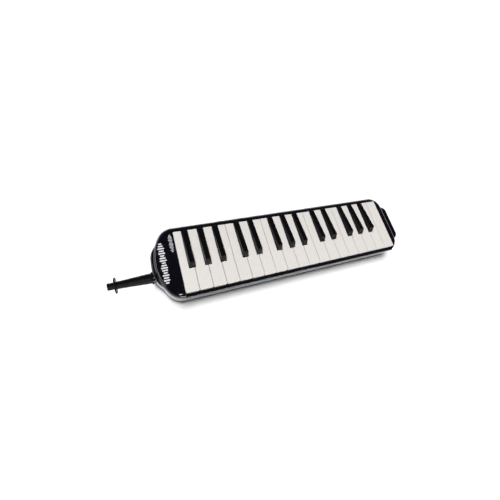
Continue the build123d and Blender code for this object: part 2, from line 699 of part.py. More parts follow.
def white_key(white, left, right):
    """A white key: wide in front, narrow between the black keys, hollow underneath."""
    x0, x1 = white * PITCH + KEY_GAP / 2, (white + 1) * PITCH - KEY_GAP / 2
    cut = BLACK_FRONT - BLACK_FRONT_GAP
    with BuildPart() as key:
        with BuildSketch(Plane.XY.offset(KEY_BOTTOM)) as outline:
            spread(x0, x1, KEYS_FRONT, cut)
            spread(left, right, KEYS_FRONT, KEYS_REAR)
            fillet(outline.vertices().group_by(Axis.Y)[0], KEY_CORNER)
        extrude(amount=KEY_TOP - KEY_BOTTOM)
        fillet(key.faces().sort_by(Axis.Z)[-1].edges(), KEY_EDGE)
        add(lever_solid(left, right))
        add(lever_hollow(left, right), mode=Mode.SUBTRACT)
        with BuildSketch(Plane.XY.offset(KEY_BOTTOM)):
            spread(x0 + KEY_WALL, x1 - KEY_WALL, KEYS_FRONT + KEY_WALL, cut - KEY_WALL)
            spread(left + KEY_WALL, right - KEY_WALL, KEYS_FRONT + KEY_WALL, KEYS_REAR - KEY_WALL)
        extrude(amount=KEY_ROOF - KEY_BOTTOM, mode=Mode.SUBTRACT)
    return key.part


def black_key(left, right):
    """A black key: its top rises to the front and drops off in a steep slope."""
    with BuildPart() as key:
        with BuildSketch(Plane.YZ.offset(at(left))):
            with BuildLine():
                Polyline(
                    (BLACK_FRONT, KEY_BOTTOM),
                    (BLACK_FRONT, KEY_TOP),
                    (BLACK_CREST_Y, BLACK_CREST),
                    (KEYS_REAR, BLACK_REAR_TOP),
                    (KEYS_REAR, KEY_BOTTOM),
                    close=True,
                )
            make_face()
        extrude(amount=right - left)
        upper_faces = key.faces().sort_by(Axis.Z)[-1], key.faces().sort_by(Axis.Y)[1]
        ridges = {edge for face in upper_faces for edge in face.edges() if edge.center().Z > KEY_TOP + 0.1}
        chamfer(ShapeList(ridges), BLACK_CHAMFER)
        add(lever_solid(left, right))
        add(lever_hollow(left, right), mode=Mode.SUBTRACT)
        with BuildSketch(Plane.XY.offset(KEY_BOTTOM)):
            spread(left + KEY_WALL, right - KEY_WALL, BLACK_FRONT + KEY_WALL, KEYS_REAR - KEY_WALL)
        extrude(amount=KEY_ROOF - KEY_BOTTOM, mode=Mode.SUBTRACT)
    return key.part


for number, (kind, white, left, right) in enumerate(KEYS, start=1):
    lever = white_key(white, left, right) if kind == "white" else black_key(left, right)
    save(Compound(children=[lever, valve_pad(left, right)]), f"key_{number:02d}")

# Mouthpiece with its lip flange, and the socket and seal that it plugs into
with BuildPart() as mouthpiece:
    with BuildSketch(inlet_plane()):
        with BuildLine():
            Polyline(
                (at(-93.5), 3.0),
                (at(-93.5), 4.3),
                (at(-92.8), 4.8),
                (at(-84.6), 4.8),
                (at(-84.6), 10.3),
                (at(-84.1), 10.8),
                (at(-83.0), 10.8),
                (at(-82.5), 10.3),
                (at(-82.5), 5.2),
                (at(-77.0), 5.2),
                (at(-41.0), 7.15),
                (at(-38.6), 7.15),
                (at(-38.6), PLUG_R),
                (at(-25.0), PLUG_R),
                (at(-24.4), PLUG_R - 0.6),
                (at(-24.4), 3.6),
                (at(-81.5), 3.0),
                close=True,
            )
        make_face()
    revolve(axis=INLET_AXIS)
save(mouthpiece.part, "mouthpiece")

with BuildPart() as inlet_socket:
    with BuildSketch(inlet_plane()):
        with BuildLine():
            Polyline(
                (at(-38.5), 5.0),
                (at(-38.5), 8.0),
                (at(-38.0), RIM_R),
                (at(-TAB_LEFT), RIM_R),
                (at(-TAB_LEFT), SOCKET_R),
                (at(-26.5), SOCKET_R),
                (at(-26.5), 5.0),
                close=True,
            )
        make_face()
    revolve(axis=INLET_AXIS)
save(inlet_socket.part, "inlet_socket")

with BuildPart() as inlet_seal:
    with BuildSketch(Plane.YZ.offset(at(INLET_SEAL_X))):
        with Locations((MOUTH_Y, MOUTH_Z)):
            Circle(INLET_SEAL_R)
            Circle(SOCKET_R + PRESS_GAP, mode=Mode.SUBTRACT)
    extrude(amount=INLET_BOX_LEFT - INLET_SEAL_X)
save(inlet_seal.part, "inlet_seal")

# Drain valve: pushing the button slides the seal off the chamber's end wall
with BuildPart() as drain_button:
    with BuildSketch(DRAIN_PLANE):
        with BuildLine():
            Polyline(
                (at(360.6), 0),
                (at(360.6), 2.1),
                (at(DRAIN_SEAL_X), 2.1),
                (at(DRAIN_SEAL_X), DRAIN_STEM_R),
                (at(DRAIN_BUTTON_X), DRAIN_STEM_R),
                (at(DRAIN_BUTTON_X), 6.2),
                (at(387.4), 6.2),
                (at(387.4), 4.5),
                (at(391.7), 4.5),
                (at(392.5), 3.7),
                (at(392.5), 0),
                close=True,
            )
        make_face()
    revolve(axis=DRAIN_AXIS)
save(drain_button.part, "drain_button")

with BuildPart() as drain_valve_seal:
    with BuildSketch(Plane.YZ.offset(at(DRAIN_SEAL_X))):
        with Locations((0, DRAIN_Z)):
            Circle(DRAIN_SEAL_R)
            Circle(DRAIN_STEM_R + 0.02, mode=Mode.SUBTRACT)
    extrude(amount=BLOCK_RIGHT - END_WALL - DRAIN_SEAL_X)
save(drain_valve_seal.part, "drain_valve_seal")

COIL_R = 2.6
WIRE_R = 0.25
coil_start = BLOCK_RIGHT + WIRE_R
coil_long = DRAIN_BUTTON_X - BLOCK_RIGHT - 2 * WIRE_R
with BuildPart() as drain_spring:
    with BuildLine() as coil:
        start = (at(coil_start), 0, DRAIN_Z)
        Helix(coil_long / 9, coil_long, COIL_R, center=start, direction=(1, 0, 0))
    with BuildSketch(Plane(origin=coil.line @ 0, z_dir=coil.line % 0)):
        Circle(WIRE_R)
    sweep(path=coil.line)
save(drain_spring.part, "drain_spring")

# Hand strap across the recess, held at both ends by studded plates
with BuildPart() as hand_strap:
    strap = (STRAP_LEFT, STRAP_RIGHT, -STRAP_WIDE / 2, STRAP_WIDE / 2)
    block(*strap, STRAP_Z, STRAP_Z + STRAP_THICK)
    with BuildSketch(Plane.XY):
        for end in (STRAP_LEFT + STUD_INSET, STRAP_RIGHT - STUD_INSET):
            with Locations((at(end), -STUD_Y), (at(end), STUD_Y)):
                Circle(STUD_HOLE_R)
    extrude(amount=STRAP_Z + STRAP_THICK, mode=Mode.SUBTRACT)
save(hand_strap.part, "hand_strap")

with BuildPart() as strap_anchors:
    for end in (STRAP_LEFT + STUD_INSET, STRAP_RIGHT - STUD_INSET):
        block(end - 4.5, end + 4.5, -12, 12, 0.2, STRAP_Z)
        with BuildSketch(Plane.XY.offset(STRAP_Z)):
            with Locations((at(end), -STUD_Y), (at(end), STUD_Y)):
                Circle(STUD_R)
        extrude(amount=3.2)
save(strap_anchors.part, "strap_anchors")
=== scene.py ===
# %% [markdown]
# A melodica: a long glossy case with a row of piano keys and a mouthpiece you blow into.
# The engineering model is loaded first and never changed. It says where everything is.
# On top of it we model the surfaces that the eye sees: the case, the keys, the mouthpiece,
# the strap, and every finish. All lengths below are in metres.

# %% Load the frame
import json
from math import atan2, cos, pi, radians, sin, tan

import bmesh
import bpy
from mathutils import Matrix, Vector


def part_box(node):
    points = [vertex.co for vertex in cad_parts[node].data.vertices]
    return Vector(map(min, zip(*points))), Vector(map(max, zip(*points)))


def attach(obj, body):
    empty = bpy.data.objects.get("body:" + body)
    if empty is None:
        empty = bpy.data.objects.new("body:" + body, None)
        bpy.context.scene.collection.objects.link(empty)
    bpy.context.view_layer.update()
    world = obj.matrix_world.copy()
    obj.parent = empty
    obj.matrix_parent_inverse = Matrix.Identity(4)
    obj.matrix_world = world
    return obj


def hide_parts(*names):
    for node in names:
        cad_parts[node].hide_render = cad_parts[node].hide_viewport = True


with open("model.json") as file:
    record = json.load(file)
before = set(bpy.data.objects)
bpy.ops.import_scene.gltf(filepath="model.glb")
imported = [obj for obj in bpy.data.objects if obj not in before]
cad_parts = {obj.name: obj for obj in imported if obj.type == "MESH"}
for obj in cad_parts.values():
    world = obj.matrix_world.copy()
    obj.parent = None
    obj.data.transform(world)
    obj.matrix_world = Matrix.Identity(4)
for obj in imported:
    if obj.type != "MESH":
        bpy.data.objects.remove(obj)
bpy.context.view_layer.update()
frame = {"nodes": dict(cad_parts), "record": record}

MM = 0.001
nodes = frame["nodes"]
slot_of = {part["node"]: part["material_slot"] for part in frame["record"]["subparts"]}
print("loaded", len(nodes), "nodes")

# %% [markdown]
# The camera stands close above the left end of the instrument and a little in front of it,
# and looks down and to the right with a wide lens. A wide lens close by makes the near
# end of the keyboard look clearly larger than the far end.
# Colours are shown with the plain Standard view, so that a white floor stays white.

# %% Camera
CAMERA_PLACE = (-0.1835, -0.1159, 0.4051)
CAMERA_TURN = (radians(21.09), radians(-15.18), radians(-16.74))
camera_data = bpy.data.cameras.new("camera")
camera_data.lens = 19.8
camera_data.sensor_width = 36.0
camera_data.clip_start = 0.01
camera = bpy.data.objects.new("camera", camera_data)
camera.location = CAMERA_PLACE
camera.rotation_euler = CAMERA_TURN
bpy.context.scene.collection.objects.link(camera)
bpy.context.scene.camera = camera
bpy.context.scene.view_settings.view_transform = "Standard"

# %% [markdown]
# Small helpers come next. Blender's operators act on whatever is selected, so each helper
# first clears the selection, and picks faces or edges by where they are.

# %% Helpers for selecting and shaping


def only(piece):
    """Select one object and make it the active one."""
    bpy.ops.object.select_all(action="DESELECT")
    piece.select_set(True)
    bpy.context.view_layer.objects.active = piece


def start_edit(piece):
    """Open one object in edit mode with nothing selected."""
    only(piece)
    bpy.ops.object.mode_set(mode="EDIT")
    bpy.ops.mesh.select_all(action="DESELECT")


def end_edit():
    """Back to object mode."""
    bpy.ops.object.mode_set(mode="OBJECT")


def pick(piece, kind, wanted):
    """In edit mode, select only the edges or faces that pass a test."""
    bpy.ops.mesh.select_mode(type=kind)
    bpy.ops.mesh.select_all(action="DESELECT")
    shape = bmesh.from_edit_mesh(piece.data)
    for part in {"EDGE": shape.edges, "FACE": shape.faces}[kind]:
        if wanted(part):
            part.select_set(True)
    bmesh.update_edit_mesh(piece.data)


def on_level(edge, z):
    """True if both ends of an edge are at height z."""
    return all(abs(vertex.co.z - z) < 1e-6 for vertex in edge.verts)


def from_plan(name, outline, low, high):
    """Draw a flat outline at height low and extrude it up to height high."""
    mesh = bpy.data.meshes.new(name)
    mesh.from_pydata([(x, y, low) for x, y in outline], [], [range(len(outline))])
    piece = bpy.data.objects.new(name, mesh)
    bpy.context.scene.collection.objects.link(piece)
    start_edit(piece)
    bpy.ops.mesh.select_all(action="SELECT")
    bpy.ops.mesh.extrude_region_move(TRANSFORM_OT_translate={"value": (0, 0, high - low)})
    bpy.ops.mesh.select_all(action="SELECT")
    bpy.ops.mesh.normals_make_consistent(inside=False)
    end_edit()
    return piece


def block(name, low, high):
    """A box between two corners, made from the cube primitive."""
    middle = [(a + b) / 2 for a, b in zip(low, high)]
    size = [b - a for a, b in zip(low, high)]
    bpy.ops.object.select_all(action="DESELECT")
    bpy.ops.mesh.primitive_cube_add(size=1, location=middle, scale=size)
    piece = bpy.context.object
    piece.name = name
    bpy.ops.object.transform_apply(location=True, rotation=True, scale=True)
    return piece


def rod(name, radius, start, end, sides=32):
    """A round bar between two points that differ along one axis only."""
    long = max(range(3), key=lambda axis: abs(end[axis] - start[axis]))
    turn = {0: (0, pi / 2, 0), 1: (pi / 2, 0, 0), 2: (0, 0, 0)}[long]
    middle = [(a + b) / 2 for a, b in zip(start, end)]
    bpy.ops.object.select_all(action="DESELECT")
    depth = abs(end[long] - start[long])
    bpy.ops.mesh.primitive_cylinder_add(
        vertices=sides, radius=radius, depth=depth, location=middle, rotation=turn
    )
    piece = bpy.context.object
    piece.name = name
    bpy.ops.object.transform_apply(location=True, rotation=True, scale=True)
    return piece


def upright(name, radius, place, low, high, sides=24):
    """A round bar that stands at a place given as X and Y."""
    x, y = place
    return rod(name, radius, (x, y, low), (x, y, high), sides)


def lengthwise(name, radius, left, right, line, sides=48):
    """A round bar that lies along X on a line given as Y and Z."""
    y, z = line
    return rod(name, radius, (left, y, z), (right, y, z), sides)


def from_profile(name, profile, left, right):
    """Draw a side view in Y and Z at X left and extrude it to X right."""
    mesh = bpy.data.meshes.new(name)
    mesh.from_pydata([(left, y, z) for y, z in profile], [], [range(len(profile))])
    piece = bpy.data.objects.new(name, mesh)
    bpy.context.scene.collection.objects.link(piece)
    start_edit(piece)
    bpy.ops.mesh.select_all(action="SELECT")
    bpy.ops.mesh.extrude_region_move(TRANSFORM_OT_translate={"value": (right - left, 0, 0)})
    bpy.ops.mesh.select_all(action="SELECT")
    bpy.ops.mesh.normals_make_consistent(inside=False)
    end_edit()
    return piece


def drafted(name, low_outline, low, high_outline, high):
    """Join two flat outlines with as many points each by a sloping wall, closed at both ends."""
    count = len(low_outline)
    corners = [(x, y, low) for x, y in low_outline] + [(x, y, high) for x, y in high_outline]
    rings = [(start + i, start + (i + 1) % count) for start in (0, count) for i in range(count)]
    mesh = bpy.data.meshes.new(name)
    mesh.from_pydata(corners, rings, [])
    piece = bpy.data.objects.new(name, mesh)
    bpy.context.scene.collection.objects.link(piece)
    start_edit(piece)
    bpy.ops.mesh.select_all(action="SELECT")
    bpy.ops.mesh.bridge_edge_loops()
    for level in (low, high):
        pick(piece, "EDGE", lambda edge: on_level(edge, level))
        bpy.ops.mesh.edge_face_add()
    bpy.ops.mesh.select_all(action="SELECT")
    bpy.ops.mesh.normals_make_consistent(inside=False)
    end_edit()
    return piece


def turned(name, profile, y, z, steps=56):
    """Spin a side view of X and radius around a line along X, as on a lathe."""
    mesh = bpy.data.meshes.new(name)
    count = len(profile)
    closed = profile[0][1] > 0
    steps_along = [(i, (i + 1) % count) for i in range(count if closed else count - 1)]
    mesh.from_pydata([(x, y, z + radius) for x, radius in profile], steps_along, [])
    piece = bpy.data.objects.new(name, mesh)
    bpy.context.scene.collection.objects.link(piece)
    start_edit(piece)
    bpy.ops.mesh.select_all(action="SELECT")
    bpy.ops.mesh.spin(steps=steps, angle=2 * pi, center=(0, y, z), axis=(1, 0, 0))
    bpy.ops.mesh.select_all(action="SELECT")
    bpy.ops.mesh.remove_doubles(threshold=1e-6)
    bpy.ops.mesh.normals_make_consistent(inside=False)
    end_edit()
    return piece


def combine(piece, tool, operation):
    """Add or cut away a second shape, which is used up."""
    only(piece)
    step = piece.modifiers.new("combine", "BOOLEAN")
    step.operation = operation
    step.object = tool
    step.solver = "EXACT"
    bpy.ops.object.modifier_apply(modifier=step.name)
    bpy.data.objects.remove(tool)


def soften(piece, width, segments=2, angle=35):
    """Round every sharp edge a little, then smooth the shading."""
    only(piece)
    if width:
        step = piece.modifiers.new("soften", "BEVEL")
        step.width = width
        step.segments = segments
        step.limit_method = "ANGLE"
        step.angle_limit = radians(angle)
        bpy.ops.object.modifier_apply(modifier=step.name)
    bpy.ops.object.shade_smooth_by_angle(angle=radians(angle))
    step = piece.modifiers.new("weigh", "WEIGHTED_NORMAL")
    step.keep_sharp = True
    bpy.ops.object.modifier_apply(modifier=step.name)


def join(pieces, name):
    """Several shapes as one piece."""
    bpy.ops.object.select_all(action="DESELECT")
    for piece in pieces:
        piece.select_set(True)
    bpy.context.view_layer.objects.active = pieces[0]
    bpy.ops.object.join()
    pieces[0].name = name
    return pieces[0]


def copy_along(piece, name, shift, across=0.0):
    """A second one with its own mesh, moved along X and, if asked, along Y."""
    again = piece.copy()
    again.data = piece.data.copy()
    again.name = name
    bpy.context.scene.collection.objects.link(again)
    again.location = (shift, across, 0)
    only(again)
    bpy.ops.object.transform_apply(location=True, rotation=True, scale=True)
    return again


def wear(piece, material, slot, body, *stands_for):
    """Give a finished piece its material and its body, and hide the nodes it replaces; slot is not
    used.
    """
    piece.data.materials.clear()
    piece.data.materials.append(material)
    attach(piece, body)
    if stands_for:
        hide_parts(*stands_for)


# %% [markdown]
# The finishes share three effects, so each is built once as a node group. Moulding grain
# is the faint unevenness of moulded plastic. Dust is a thin scatter of pale specks.
# Handling is a slow change from clean to slightly dull where hands have been.

# %% Shared effects as node groups


def new_group(name, inputs, outputs):
    """An empty shader node group with named number inputs and number outputs."""
    group = bpy.data.node_groups.new(name, "ShaderNodeTree")
    for label, value in inputs.items():
        socket = group.interface.new_socket(label, in_out="INPUT", socket_type="NodeSocketFloat")
        socket.default_value = value
    for label in outputs:
        group.interface.new_socket(label, in_out="OUTPUT", socket_type="NodeSocketFloat")
    start = group.nodes.new("NodeGroupInput")
    end = group.nodes.new("NodeGroupOutput")
    return group, start, end


def add_node(tree, kind, **settings):
    """A new node with some of its settings or input values filled in."""
    node = tree.nodes.new(kind)
    for label, value in settings.items():
        if hasattr(node, label):
            setattr(node, label, value)
        else:
            node.inputs[label.replace("_", " ").title()].default_value = value
    return node


def noise_in(tree, scale, detail=3.0, roughness=0.5):
    """A noise texture on Object coordinates."""
    place = tree.nodes.new("ShaderNodeTexCoord")
    noise = add_node(tree, "ShaderNodeTexNoise", scale=scale, detail=detail, roughness=roughness)
    tree.links.new(place.outputs["Object"], noise.inputs["Vector"])
    return noise


def ramp_in(tree, source, low, high):
    """Map a number so that low becomes 0 and high becomes 1, with soft ends."""
    ramp = tree.nodes.new("ShaderNodeMapRange")
    ramp.interpolation_type = "SMOOTHSTEP"
    ramp.inputs["From Min"].default_value = low
    ramp.inputs["From Max"].default_value = high
    tree.links.new(source, ramp.inputs["Value"])
    return ramp


def grain_group():
    """Fine and coarse unevenness of moulded plastic, as one height."""
    group, start, end = new_group("moulding_grain", {"Fine": 1.0, "Coarse": 1.0}, ["Height"])
    fine = noise_in(group, 900.0)
    coarse = noise_in(group, 70.0)
    fine_part = add_node(group, "ShaderNodeMath", operation="MULTIPLY")
    coarse_part = add_node(group, "ShaderNodeMath", operation="MULTIPLY")
    total = add_node(group, "ShaderNodeMath", operation="ADD")
    group.links.new(fine.outputs["Fac"], fine_part.inputs[0])
    group.links.new(start.outputs["Fine"], fine_part.inputs[1])
    group.links.new(coarse.outputs["Fac"], coarse_part.inputs[0])
    group.links.new(start.outputs["Coarse"], coarse_part.inputs[1])
    group.links.new(fine_part.outputs[0], total.inputs[0])
    group.links.new(coarse_part.outputs[0], total.inputs[1])
    group.links.new(total.outputs[0], end.inputs["Height"])
    return group


def dust_group():
    """A mask of small scattered specks, more of them as Amount rises."""
    group, start, end = new_group("dust", {"Amount": 0.2}, ["Mask"])
    specks = noise_in(group, 1500.0, 1.0)
    clouds = noise_in(group, 25.0, 2.0)
    spots = ramp_in(group, specks.outputs["Fac"], 0.68, 0.74)
    patches = ramp_in(group, clouds.outputs["Fac"], 0.4, 0.7)
    both = add_node(group, "ShaderNodeMath", operation="MULTIPLY")
    scaled = add_node(group, "ShaderNodeMath", operation="MULTIPLY")
    group.links.new(spots.outputs["Result"], both.inputs[0])
    group.links.new(patches.outputs["Result"], both.inputs[1])
    group.links.new(both.outputs[0], scaled.inputs[0])
    group.links.new(start.outputs["Amount"], scaled.inputs[1])
    group.links.new(scaled.outputs[0], end.inputs["Mask"])
    return group


def handling_group():
    """A slow patchy value between Clean and Dull for roughness."""
    group, start, end = new_group("handling", {"Clean": 0.2, "Dull": 0.3}, ["Roughness"])
    smears = noise_in(group, 18.0, 4.0, 0.6)
    mask = ramp_in(group, smears.outputs["Fac"], 0.35, 0.7)
    mix = add_node(group, "ShaderNodeMix", data_type="FLOAT")
    group.links.new(mask.outputs["Result"], mix.inputs["Factor"])
    group.links.new(start.outputs["Clean"], mix.inputs["A"])
    group.links.new(start.outputs["Dull"], mix.inputs["B"])
    group.links.new(mix.outputs["Result"], end.inputs["Roughness"])
    return group


GRAIN, DUST, HANDLING = grain_group(), dust_group(), handling_group()
print("groups:", GRAIN.name, DUST.name, HANDLING.name)

# %% Materials from those effects


def use_group(tree, group, **values):
    """Place a node group in a material with its own values."""
    node = tree.nodes.new("ShaderNodeGroup")
    node.node_tree = group
    for label, value in values.items():
        node.inputs[label.title()].default_value = value
    return node


def mix_colour(tree, mask, first, second):
    """Blend from one colour to another by a mask."""
    mix = add_node(tree, "ShaderNodeMix", data_type="RGBA")
    mix.inputs["A"].default_value = (*first, 1.0)
    mix.inputs["B"].default_value = (*second, 1.0)
    tree.links.new(mask, mix.inputs["Factor"])
    return mix.outputs["Result"]


def plain_finish(name, colour, tint, clean, dull, bump, dust=0.0, metallic=0.0):
    """A moulded or metal finish: slow colour change, patchy gloss, grain and dust."""
    material = bpy.data.materials.new(name)
    material.use_nodes = True
    tree = material.node_tree
    shader = tree.nodes["Principled BSDF"]
    shader.inputs["Metallic"].default_value = metallic
    cloud = noise_in(tree, 30.0)
    base = mix_colour(tree, cloud.outputs["Fac"], colour, tint)
    if dust:
        specks = use_group(tree, DUST, amount=dust)
        dusty = add_node(tree, "ShaderNodeMix", data_type="RGBA")
        dusty.inputs["B"].default_value = (0.5, 0.49, 0.47, 1.0)
        tree.links.new(specks.outputs["Mask"], dusty.inputs["Factor"])
        tree.links.new(base, dusty.inputs["A"])
        base = dusty.outputs["Result"]
    tree.links.new(base, shader.inputs["Base Color"])
    gloss = use_group(tree, HANDLING, clean=clean, dull=dull)
    tree.links.new(gloss.outputs["Roughness"], shader.inputs["Roughness"])
    if bump:
        grain = use_group(tree, GRAIN, fine=1.0, coarse=0.6)
        relief = add_node(tree, "ShaderNodeBump", strength=bump, distance=0.0001)
        tree.links.new(grain.outputs["Height"], relief.inputs["Height"])
        tree.links.new(relief.outputs["Normal"], shader.inputs["Normal"])
    return material, shader


gloss_black, gloss_shader = plain_finish(
    "gloss_black", (0.0022, 0.0022, 0.0040), (0.0032, 0.0032, 0.0055), 0.07, 0.16, 0.05, dust=0.08
)
gloss_shader.inputs["Coat Weight"].default_value = 0.3
gloss_shader.inputs["Coat Roughness"].default_value = 0.04
ivory, _ = plain_finish("ivory", (0.64, 0.612, 0.585), (0.61, 0.582, 0.555), 0.24, 0.38, 0.06)
key_black, key_shader = plain_finish(
    "key_black", (0.0025, 0.0023, 0.003), (0.004, 0.0038, 0.0045), 0.10, 0.20, 0.10, dust=0.10
)
key_shader.inputs["Specular IOR Level"].default_value = 0.13
mouth_black, mouth_shader = plain_finish(
    "mouth_black", (0.002, 0.002, 0.0025), (0.0035, 0.0035, 0.004), 0.26, 0.38, 0.15, dust=0.05
)
mouth_shader.inputs["Specular IOR Level"].default_value = 0.12
inner_grey, _ = plain_finish("inner_grey", (0.05, 0.05, 0.055), (0.07, 0.07, 0.075), 0.45, 0.6, 0.3)
rubber, _ = plain_finish("rubber", (0.02, 0.02, 0.02), (0.035, 0.034, 0.033), 0.6, 0.8, 0.5, dust=0.2)
brass, _ = plain_finish("brass", (0.62, 0.43, 0.16), (0.5, 0.33, 0.11), 0.22, 0.42, 0.1, metallic=1.0)
steel, _ = plain_finish("steel", (0.55, 0.55, 0.56), (0.42, 0.42, 0.43), 0.2, 0.4, 0.1, metallic=1.0)
print("materials:", len(bpy.data.materials))

# %% [markdown]
# Cloth needs its own relief. The strap is a plain weave: bands of raised threads that
# cross, so one wave runs along the strap and one across, and their product is the height.
# Felt has no threads in order, only short fibres, so strong fine grain gives its nap.

# %% Cloth finishes


def band_wave(tree, axis, period):
    """A row of soft ridges along one axis, period in metres."""
    place = tree.nodes.new("ShaderNodeTexCoord")
    wave = tree.nodes.new("ShaderNodeTexWave")
    wave.bands_direction = axis
    wave.inputs["Scale"].default_value = 2 * pi / (20 * period)
    tree.links.new(place.outputs["Object"], wave.inputs["Vector"])
    return wave.outputs["Fac"]


def weave_group(across, along):
    """Crossing threads as a height, with the periods of the two threads."""
    group, start, end = new_group("weave", {"Depth": 1.0}, ["Height"])
    crossing = add_node(group, "ShaderNodeMath", operation="MULTIPLY")
    deep = add_node(group, "ShaderNodeMath", operation="MULTIPLY")
    group.links.new(band_wave(group, "X", along), crossing.inputs[0])
    group.links.new(band_wave(group, "Y", across), crossing.inputs[1])
    group.links.new(crossing.outputs[0], deep.inputs[0])
    group.links.new(start.outputs["Depth"], deep.inputs[1])
    group.links.new(deep.outputs[0], end.inputs["Height"])
    return group


WEAVE = weave_group(across=1.6 * MM, along=0.9 * MM)


def woven_finish(name, gap_shade_colour, high_colour, rough):
    """Cloth whose gaps between raised threads are painted darker, as painted shade."""
    material = bpy.data.materials.new(name)
    material.use_nodes = True
    tree = material.node_tree
    shader = tree.nodes["Principled BSDF"]
    threads = use_group(tree, WEAVE, depth=1.0)
    # The weave height paints the gaps between threads darker: painted shade in the recesses.
    colour = mix_colour(tree, threads.outputs["Height"], gap_shade_colour, high_colour)
    tree.links.new(colour, shader.inputs["Base Color"])
    relief = add_node(tree, "ShaderNodeBump", strength=0.9, distance=0.0003)
    tree.links.new(threads.outputs["Height"], relief.inputs["Height"])
    tree.links.new(relief.outputs["Normal"], shader.inputs["Normal"])
    worn = use_group(tree, HANDLING, clean=rough, dull=rough + 0.15)
    tree.links.new(worn.outputs["Roughness"], shader.inputs["Roughness"])
    shader.inputs["Sheen Weight"].default_value = 0.3
    return material


# The first colour is painted shade for the gaps between threads; the second is the threads' own dark
# grey.
webbing = woven_finish("webbing", (0.008, 0.008, 0.009), (0.03, 0.03, 0.033), 0.7)
thread, _ = plain_finish("thread", (0.03, 0.03, 0.032), (0.05, 0.05, 0.052), 0.5, 0.7, 0.4)
felt, felt_shader = plain_finish("felt", (0.30, 0.025, 0.03), (0.20, 0.015, 0.02), 0.9, 1.0, 0.9)
felt_shader.inputs["Sheen Weight"].default_value = 0.5
print("cloth finishes:", webbing.name, thread.name, felt.name)

# %% Finishes on the engineering model
FINISHES = {
    "gloss_black": gloss_black,
    "satin_black": key_black,
    "ivory": ivory,
    "inner_plastic": inner_grey,
    "rubber": rubber,
    "brass": brass,
    "steel": steel,
    "felt": felt,
    "webbing": webbing,
}
for name, node in nodes.items():
    node.data.materials.clear()
    node.data.materials.append(FINISHES[slot_of[name]])

# %% [markdown]
# The instrument lies on a plain white sheet in a studio with a dark ceiling, so that the
# level black surfaces stay black while the sides mirror the sheet. The camera itself sees
# a white backdrop. One broad soft light high at the rear left throws a short soft shadow
# to the front and the right. It is hidden from reflections, as a cloth tent would hide it.
# Three small lamps make the fine glints on the rims: a long strip low in front, a slim
# window high in front, and a long strip at the left. The last two only make glints: their
# light on matt surfaces is switched off.

# %% Floor, surroundings and lights
bpy.ops.object.select_all(action="DESELECT")
bpy.ops.mesh.primitive_plane_add(size=6.0, location=(0, 0, 0))
floor = bpy.context.object
floor.name = "floor"
bpy.ops.object.transform_apply(location=True, rotation=True, scale=True)
white = bpy.data.materials.new("white_sheet")
white.use_nodes = True
white.node_tree.nodes["Principled BSDF"].inputs["Base Color"].default_value = (0.93, 0.93, 0.93, 1.0)
white.node_tree.nodes["Principled BSDF"].inputs["Roughness"].default_value = 0.8
floor.data.materials.append(white)

world = bpy.data.worlds.new("studio")
world.use_nodes = True
sky = world.node_tree
direction = sky.nodes.new("ShaderNodeTexCoord")
split = sky.nodes.new("ShaderNodeSeparateXYZ")
sky.links.new(direction.outputs["Generated"], split.inputs["Vector"])
height = ramp_in(sky, split.outputs["Z"], 0.05, 0.45)
ceiling = mix_colour(sky, height.outputs["Result"], (0.75, 0.75, 0.77), (0.012, 0.012, 0.014))
seen = sky.nodes.new("ShaderNodeLightPath")
backdrop = add_node(sky, "ShaderNodeMix", data_type="RGBA")
backdrop.inputs["B"].default_value = (1.0, 1.0, 1.0, 1.0)
sky.links.new(seen.outputs["Is Camera Ray"], backdrop.inputs["Factor"])
sky.links.new(ceiling, backdrop.inputs["A"])
sky.links.new(backdrop.outputs["Result"], sky.nodes["Background"].inputs["Color"])
sky.nodes["Background"].inputs["Strength"].default_value = 1.0
bpy.context.scene.world = world


def add_light(name, kind, place, power, **settings):
    """A light that looks at the middle of the instrument."""
    data = bpy.data.lights.new(name, kind)
    data.energy = power
    for label, value in settings.items():
        setattr(data, label, value)
    holder = bpy.data.objects.new(name, data)
    holder.location = place
    holder.rotation_euler = (-Vector(place)).to_track_quat("-Z", "Y").to_euler()
    bpy.context.scene.collection.objects.link(holder)
    return holder


soft_sun = add_light("soft_sun", "SUN", (-0.20, 0.22, 0.95), 3.9, angle=radians(35))
soft_sun.visible_glossy = False
lamps = {}
for name, place, power, wide, tall in (
    ("strip", (0.1, -1.3, 0.22), 10.0, 1.4, 0.10),
    ("window", (-0.349, -0.583, 1.094), 3.0, 0.12, 0.6),
    ("left_strip", (-1.25, 0.25, 0.6), 3.0, 1.2, 0.08),
):
    lamps[name] = add_light(name, "AREA", place, power, shape="RECTANGLE", size=wide, size_y=tall)
lamps["window"].visible_diffuse = False
lamps["left_strip"].visible_diffuse = False
print("stage ready")

# %% [markdown]
# The case is two moulded shells that meet at a seam. The upper one is drawn as a flat
# outline, a wide arc at the left end and rounded corners, and extruded up. Its rim is
# bevelled for the soft shoulder. A small step near the seam makes the bead that stiffens
# the real moulding. Booleans then take out the inside, the key opening and the front rail.

# %% Outlines of the case
case_low, case_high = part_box("upper_case")
key_low, key_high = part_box("key_01")[0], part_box("key_32")[1]
SEAM, DECK = case_low.z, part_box("chassis")[1].z
TOP, HALF = case_high.z, case_high.y
WALL, ROOF = 2.2 * MM, 2.5 * MM
BODY_LEFT, BODY_RIGHT = case_low.x + 3.1 * MM, case_high.x - 12.0 * MM
TAB_TOP, TAB_FOOT, TAB_DEEP = 33.0 * MM, 2.5 * MM, 40.0 * MM
SHOULDER = 6.5 * MM
RAIL_TOP, RAIL_EDGE = 31.0 * MM, -46.4 * MM
OPENING_LEFT, OPENING_RIGHT = key_low.x - 0.65 * MM, key_high.x + 0.65 * MM
OPENING_REAR = 43.3 * MM


def arc(centre, radius, start, end, steps):
    """Points along an arc, angles in degrees, anticlockwise if end is larger."""
    angles = [radians(start + (end - start) * i / steps) for i in range(steps + 1)]
    return [(centre[0] + radius * cos(a), centre[1] + radius * sin(a)) for a in angles]


